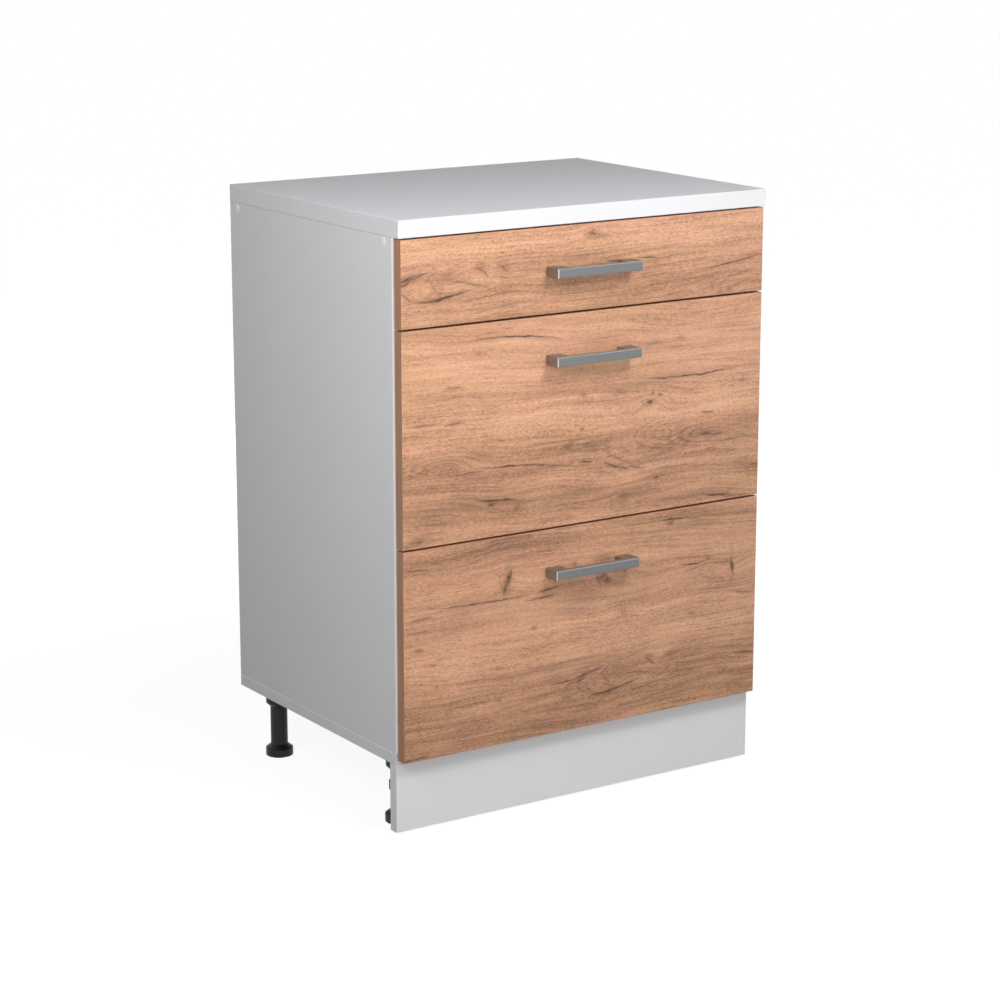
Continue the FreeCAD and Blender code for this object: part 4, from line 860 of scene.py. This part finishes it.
def dome_profile(radius, start, height, steps, flatness=1.0):
    """A dome's points above a start height, from near its rim to near its pole."""
    points = []
    for step in range(1, steps):
        angle = step / steps * math.pi / 2.0
        points.append((radius * math.cos(angle) ** flatness, start + height * math.sin(angle)))
    return points


def add_mesh(shape, mesh, place):
    """Adds a mesh at a place to a bmesh and drops the mesh."""
    mesh.transform(place)
    shape.from_mesh(mesh)
    bpy.data.meshes.remove(mesh)


def turned_to(place, direction, up):
    """A placing that turns Z to a direction."""
    return Matrix.Translation(place) @ direction.to_track_quat("Z", up).to_matrix().to_4x4()


def cross_cutter(reach, half_arm, depth):
    """A cross-shaped wedge that narrows downwards, for the drive in a screw's head."""
    shape = bmesh.new()
    outline = []
    for quarter in range(4):
        turn = Matrix.Rotation(quarter * math.pi / 2.0, 3, "Z")
        corners = ((half_arm, half_arm, 0.0), (half_arm, reach, 0.0), (-half_arm, reach, 0.0))
        outline += [turn @ Vector(corner) for corner in corners]
    upper = [shape.verts.new((c.x, c.y, CUTTER_TOP)) for c in outline]
    lower = [shape.verts.new((c.x * CUTTER_TAPER, c.y * CUTTER_TAPER, -depth)) for c in outline]
    shape.faces.new(upper)
    shape.faces.new(lower)
    for step in range(len(outline)):
        following = (step + 1) % len(outline)
        shape.faces.new((upper[step], upper[following], lower[following], lower[step]))
    return finished_mesh("cross_cutter", shape, rounded=False)


def cut(mesh, cutter):
    """The mesh with the cutter's shape taken out of it."""
    body = add_object("cut_body", mesh)
    tool = add_object("cut_tool", cutter)
    modifier = body.modifiers.new("cut", "BOOLEAN")
    modifier.operation = "DIFFERENCE"
    modifier.solver = "EXACT"
    modifier.object = tool
    made = bpy.data.meshes.new_from_object(body.evaluated_get(bpy.context.evaluated_depsgraph_get()))
    for thing in (body, tool):
        bpy.data.objects.remove(thing)
    return made


def thread_profile(radius, start, end, pitch):
    """Ridges down a shank, from its neck at start to its blunt point at end (heights fall)."""
    profile = [(radius * NECK_SHARE, start)]
    turns = max(2, int((start - end - TIP_LENGTH * radius) / pitch))
    for number in range(turns):
        top = start - pitch * number
        profile += [(radius * wide, top - down * pitch) for down, wide in THREAD_RIDGE]
    return profile + [(radius * TIP_SHARE, end + TIP_LENGTH * radius), (0.0, end)]


FASTENERS = {}


def fastener_mesh(kind, head, shank, length, head_tall):
    """One fastener along -Z with the top of its head at 0, made once for each kind and size."""
    key = (kind, *(round(value * 1e5) for value in (head, shank, length, head_tall)))
    if key in FASTENERS:
        return FASTENERS[key]

    def driven(profile, reach, half_arm, depth, segments=24):
        """The turned profile with a cross cut into its head."""
        cutter = cross_cutter(head * reach, head * half_arm, depth)
        return cut(finished_mesh(kind, lathe(profile, segments)), cutter)

    def screw(top, reach):
        thread = thread_profile(shank, -head_tall - TOUCH, -length, SCREW_PITCH * shank)
        return driven(top + thread, reach, 0.10, head_tall * 0.8)

    if kind == "pan":
        mesh = screw([(head * wide, down * head_tall) for wide, down in PAN_HEAD], 0.55)
    elif kind == "sunk":
        mesh = screw([(0.0, 0.0), (head * 0.97, 0.0), (head, -0.15 * MM), (shank, -head_tall)], 0.52)
    elif kind == "cam":
        disc = [(0.0, -0.6 * MM), (head * 0.72, -0.6 * MM), (head * 0.76, 0.0), (head * 0.96, 0.0),
                (head, -0.3 * MM), (head, -length + 0.3 * MM), (head * 0.96, -length), (0.0, -length)]
        mesh = driven(disc, 0.52, 0.11, CAM_DRIVE_DEPTH, 40)
    else:
        waist = shank * BOLT_WAIST
        rod = [(0.0, 0.0), (shank * 0.86, 0.0), (shank, -0.4 * MM), (shank, -2.2 * MM), (waist, -3.0 * MM),
               (waist, -6.5 * MM), (shank, -7.5 * MM), (shank, -9.0 * MM)]
        thread = thread_profile(shank, -9.2 * MM, -length, BOLT_PITCH * shank)
        mesh = finished_mesh(kind, lathe(rod + thread))
    smooth(mesh)
    FASTENERS[key] = mesh
    return mesh


def solids_of(node):
    """The separate solids of a node, each as the list of its points."""
    shape = bmesh.new()
    shape.from_mesh(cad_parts[node].data)
    bmesh.ops.remove_doubles(shape, verts=shape.verts, dist=WELD)
    unseen = set(shape.verts)
    solids = []
    while unseen:
        waiting = [unseen.pop()]
        found = []
        while waiting:
            point = waiting.pop()
            found.append(point.co.copy())
            for edge in point.link_edges:
                other = edge.other_vert(point)
                if other in unseen:
                    unseen.remove(other)
                    waiting.append(other)
        solids.append(found)
    shape.free()
    return solids


def measured(points):
    """A turned solid's head end, axis towards it, length, head radius, shank radius and head height."""
    low = Vector([min(p[axis] for p in points) for axis in range(3)])
    high = Vector([max(p[axis] for p in points) for axis in range(3)])
    size, middle = high - low, (high + low) / 2.0
    axis = min(range(3), key=lambda a: abs(size[(a + 1) % 3] - size[(a + 2) % 3]))
    head_radius = size[(axis + 1) % 3] / 2.0

    def radius(point):
        away = point - middle
        away[axis] = 0.0
        return away.length

    def end_radius(end):
        return max(radius(p) for p in points if abs(p[axis] - end[axis]) < TOUCH)

    ends = {-1: end_radius(low), 1: end_radius(high)}
    sign = 1 if ends[1] >= ends[-1] else -1
    direction = Vector((0.0, 0.0, 0.0))
    direction[axis] = sign
    top = middle + direction * size[axis] / 2.0
    shank_radius = ends[-sign]
    wide = [abs(p[axis] - top[axis]) for p in points if radius(p) > shank_radius + STEP]
    return top, direction, size[axis], head_radius, shank_radius, max(wide, default=0.0)


def fastener_kind(points, top, direction, head, shank, head_tall):
    """A pan head keeps its full radius down most of its height; a sunk one is a cone."""
    if head > CAM_RADIUS:
        return "cam"
    if head - shank < BOLT_DIFFERENCE:
        return "bolt"
    full_width = []
    for point in points:
        along = (point - top).dot(direction)
        if (point - top - direction * along).length > head - STEP:
            full_width.append(abs(along))
    return "pan" if max(full_width) > PAN_SHARE * head_tall else "sunk"


def detailed_fasteners(node, body):
    """Stands in for a node of plain fasteners: each solid becomes one with a drive and a thread."""
    shape = bmesh.new()
    rng = random.Random(node)
    for points in solids_of(node):
        top, direction, length, head, shank, head_tall = measured(points)
        kind = fastener_kind(points, top, direction, head, shank, head_tall)
        made = fastener_mesh(kind, head, shank, length, head_tall).copy()
        spin = Matrix.Rotation(rng.uniform(0.0, math.tau), 4, "Z")
        add_mesh(shape, made, turned_to(top, direction, "Y") @ spin)
    mesh = bpy.data.meshes.new(f"{node}_detailed")
    shape.to_mesh(mesh)
    shape.free()
    smooth(mesh)
    put(mesh.name, mesh, body, bpy.data.materials["zinc_steel"], (node,))


def domed_caps():
    """Screw cover caps with a domed face, in place of the plain discs."""
    shape = bmesh.new()
    for points in solids_of("screw_cover_caps"):
        top, _, length, radius, _, _ = measured(points)
        outwards = Vector((math.copysign(1.0, top.x), 0.0, 0.0))
        base = Vector((math.copysign(min(abs(p.x) for p in points), top.x), top.y, top.z))
        edge = 0.25 * length
        dome = dome_profile(radius, edge, 0.75 * length, 8, 0.8)
        profile = [(0.0, 0.0), (radius, 0.0), (radius, edge)] + dome + [(0.0, length)]
        add_mesh(shape, finished_mesh("cap", lathe(profile, 36)), turned_to(base, outwards, "Y"))
    put("screw_cover_caps_domed", finished_mesh("caps", shape), "carcass",
        bpy.data.materials["white_plastic"], ("screw_cover_caps",))


def box_between(shape, low, high):
    """Adds one closed box to a bmesh."""
    made = bmesh.ops.create_cube(shape, size=1.0)["verts"]
    low, high = Vector(low), Vector(high)
    for vertex in made:
        vertex.co = Vector([low[a] + (vertex.co[a] + 0.5) * (high[a] - low[a]) for a in range(3)])
    return made


def ball_races(drawer, side, cage_material, ball_material):
    """Balls in their steel cages, between the three members of one runner."""
    boxes = {member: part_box(f"{drawer}_runner_{member}_{side}") for member in ("outer", "middle", "inner")}
    middle_z = (boxes["outer"][0].z + boxes["outer"][1].z) / 2.0
    half = {member: (high.z - low.z) / 2.0 for member, (low, high) in boxes.items()}
    front, rear = boxes["middle"][0].y, boxes["middle"][1].y
    races = (("outer", "middle", rear - REAR_CAGE[0], rear - REAR_CAGE[1]),
             ("middle", "inner", front + FRONT_CAGE[0], front + FRONT_CAGE[1]))
    cage, balls = bmesh.new(), bmesh.new()
    for wide, narrow, low_y, high_y in races:
        gap_high, gap_low = half[wide] - RUNNER_STEEL, half[narrow]
        radius = (gap_high - gap_low) / 2.0 - BALL_PLAY
        (a0, a1), (b0, b1) = ((boxes[m][0].x, boxes[m][1].x) for m in (wide, narrow))
        x = (max(a0, b0) + min(a1, b1)) / 2.0
        reach = (min(a1, b1) - max(a0, b0)) / 2.0 - CAGE_PLAY
        for up in (-1, 1):
            z = middle_z + up * (gap_high + gap_low) / 2.0
            box_between(cage, (x - reach, low_y, z - CAGE_HALF), (x + reach, high_y, z + CAGE_HALF))
            count = int((high_y - low_y) / BALL_SPACING)
            for number in range(count):
                y = low_y + (number + 0.5) * (high_y - low_y) / count
                bmesh.ops.create_icosphere(balls, subdivisions=2, radius=radius,
                                           matrix=Matrix.Translation((x, y, z)))
    body = f"{drawer}_runner_middles"
    cage_mesh = finished_mesh("cage", cage, rounded=False)
    put(f"{drawer}_ball_cage_{side}", cage_mesh, body, cage_material)
    put(f"{drawer}_balls_{side}", finished_mesh("balls", balls), body, ball_material)


def bumpers(drawer, material):
    """Four clear buffers on the back of a drawer front, which meet the carcass edges."""
    low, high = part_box(f"{drawer}_drawer_front")
    panel_low, panel_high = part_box("side_panel_left")
    height = (panel_low.y - FRONT_PROUD - high.y) * BUMPER_SHARE
    board = (panel_low.x + panel_high.x) / 2.0
    dome = dome_profile(BUMPER_RADIUS, 0.0, height, 7)
    profile = [(0.0, 0.0), (BUMPER_RADIUS, 0.0)] + dome + [(0.0, height)]
    backwards = Vector((0.0, 1.0, 0.0))
    shape = bmesh.new()
    for x in (board, -board):
        for z in (low.z + BUMPER_INSET, high.z - BUMPER_INSET):
            place = turned_to((x, high.y, z), backwards, "X")
            add_mesh(shape, finished_mesh("bumper", lathe(profile)), place)
    mesh = finished_mesh("bumpers", shape)
    put(f"{drawer}_front_bumpers", mesh, f"{drawer}_drawer", material)


def edge_band(name, low, high, ease, material):
    """One band: a closed box with chamfered edges."""
    shape = bmesh.new()
    made = box_between(shape, low, high)
    edges = {edge for vertex in made for edge in vertex.link_edges}
    bmesh.ops.bevel(shape, geom=list(edges), offset=ease, segments=1, affect="EDGES")
    put(name, finished_mesh("band", shape, rounded=False), "carcass", material)


def edge_bands(material, front_painted_white_material):
    """Thin edge bands with chamfered corners, a little proud of the boards that they cover."""
    for side, sense in SIDES.items():
        for board, slot, proud, inset, ease in BOARD_BANDS:
            low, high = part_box(board)
            face = sense * max(abs(low.x), abs(high.x))
            ends = sorted((face - sense * BAND_BEDDED, face + sense * proud))
            edge_band(f"{board}_edge_band_{side}", (ends[0], low.y + inset, low.z + inset),
                      (ends[1], high.y - inset, high.z - inset), ease, material)
        low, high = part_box(f"side_panel_{side}")
        near = (low.x + FRONT_LAP, low.y - FRONT_PROUD, low.z + FRONT_INSET)
        far = (high.x - FRONT_LAP, low.y + BAND_BEDDED, high.z - FRONT_INSET)
        # Painted light: the front band is painted brighter than the panel, for light that the drawer fronts
        # keep off it.
        edge_band(f"side_panel_edge_band_{side}", near, far, FRONT_EASE, front_painted_white_material)


def make_pieces():
    domed_caps()
    # Painted highlight: the bands' chamfers are painted pure white.
    edge_bands(laminate_material("edge_band", WHITE, roughness=0.34, pebble=0.04, corner=PLAIN),
               # Painted light: the front bands are pure white, brighter than the panels, standing in for
               # light where the fronts shade them.
               laminate_material("front_edge_band_painted_white", PLAIN, roughness=0.34, pebble=0.04))
    for node in ("confirmat_screws", "worktop_screws", "carcass_small_screws"):
        detailed_fasteners(node, "carcass")
    cage = runner_steel_material("cage_steel", (0.42, 0.42, 0.42), 0.38)
    ball = runner_steel_material("ball_steel", (0.62, 0.62, 0.63), 0.12)
    clear = gloss_plastic_material("bumper_plastic", BUMPER_TONES, 0.18)
    for drawer in DRAWERS:
        detailed_fasteners(f"{drawer}_drawer_fasteners", f"{drawer}_drawer")
        bumpers(drawer, clear)
        for side in SIDES:
            ball_races(drawer, side, cage, ball)


make_pieces()


# ---- the floor, the light and the camera ----

FLOOR_RADIUS = 30.0
FLOOR_GREY = (0.22, 0.22, 0.22, 1.0)
FLOOR_GLOW = 0.90
FLOOR_FADE = (0.5, 1.8)
LIGHT_WHITE = (1.0, 1.0, 1.0, 1.0)
CAMERA_PLACE = (-2.1277, -3.2200, 1.3159)
CAMERA_TURN = 33.427
CAMERA_DIP = 13.500
CAMERA_LENS = 99.25

# A lamp's place, the point that it faces, its width in m, its power in W, and whether reflections show it.
LAMPS = {
    "key": ((0.14, -1.22, 1.50), (0.0, -0.2, 0.6), 0.45, 9.7, False),
    "front_fill": ((-0.80, -2.35, 0.90), (0.0, -0.2, 0.5), 1.8, 12.5, True),
    "front_low": ((0.45, -2.15, 0.45), (0.0, -0.2, 0.4), 1.2, 8.6, True),
    "left_near": ((-1.30, -0.70, 1.30), (0.0, -0.1, 0.6), 0.8, 10.4, False),
    "left_low": ((-2.20, -1.00, 1.20), (0.0, -0.1, 0.5), 1.4, 3.6, True),
    "right_fill": ((2.00, 0.30, 0.55), (0.0, 0.0, 0.45), 1.4, 15.0, True),
    "rear_fill": ((0.30, 2.40, 0.45), (0.0, 0.0, 0.45), 1.4, 24.0, False),
}


def seen_directly(t):
    """1 for camera, glossy and transmission rays, else 0."""
    path = t.node("ShaderNodeLightPath").outputs
    return t.larger(path["Is Camera Ray"], t.larger(path["Is Glossy Ray"], path["Is Transmission Ray"]))


def make_floor():
    """A pale floor that glows a little, so that it fades into the white behind it."""
    mesh = bpy.data.meshes.new("floor")
    shape = bmesh.new()
    bmesh.ops.create_circle(shape, cap_ends=True, radius=FLOOR_RADIUS, segments=64)
    shape.to_mesh(mesh)
    shape.free()
    floor = add_object("floor", mesh)
    material = bpy.data.materials.new("pale_floor")
    t = Tree(cleared(material))
    lit = t.node("ShaderNodeBsdfDiffuse", {"Color": FLOOR_GREY})
    glow = t.node("ShaderNodeEmission", {"Color": LIGHT_WHITE})
    place = t.split(t.node("ShaderNodeTexCoord").outputs["Object"])
    distance = t.vector("LENGTH", t.join(place["X"], place["Y"], 0.0))
    shine = t.remap(distance, *FLOOR_FADE, FLOOR_GLOW, 1.0, smooth=True)
    t.feed(glow.inputs["Strength"], t.times(seen_directly(t), shine))
    both = t.node("ShaderNodeAddShader", {0: lit.outputs[0], 1: glow.outputs[0]})
    output = t.node("ShaderNodeOutputMaterial")
    t.links.new(both.outputs[0], output.inputs["Surface"])
    mesh.materials.append(material)


def make_world():
    """White where it is seen directly and dark as a light, so that the lamps alone light the object."""
    world = bpy.data.worlds.new("studio")
    t = Tree(cleared(world))
    glow = t.node("ShaderNodeBackground", {"Color": LIGHT_WHITE, "Strength": seen_directly(t)})
    output = t.node("ShaderNodeOutputWorld")
    t.links.new(glow.outputs[0], output.inputs["Surface"])
    bpy.context.scene.world = world


def area_light(name, place, target, size, power, in_reflections):
    data = bpy.data.lights.new(name, "AREA")
    data.shape = "SQUARE"
    data.size = size
    data.energy = power
    lamp = add_object(name, data)
    lamp.location = place
    lamp.rotation_mode = "QUATERNION"
    lamp.rotation_quaternion = (Vector(target) - Vector(place)).to_track_quat("-Z", "Y")
    lamp.visible_glossy = in_reflections


def make_camera():
    data = bpy.data.cameras.new("camera")
    data.sensor_width = 36.0
    data.lens = CAMERA_LENS
    data.clip_start = 0.1
    data.clip_end = 60.0
    camera = add_object("camera", data)
    camera.location = CAMERA_PLACE
    camera.rotation_euler = (math.radians(90.0 - CAMERA_DIP), 0.0, math.radians(-CAMERA_TURN))
    bpy.context.scene.camera = camera


make_floor()
make_world()
for lamp_name, lamp_values in LAMPS.items():
    area_light(lamp_name, *lamp_values)
make_camera()
bpy.context.scene.view_settings.view_transform = "Standard"
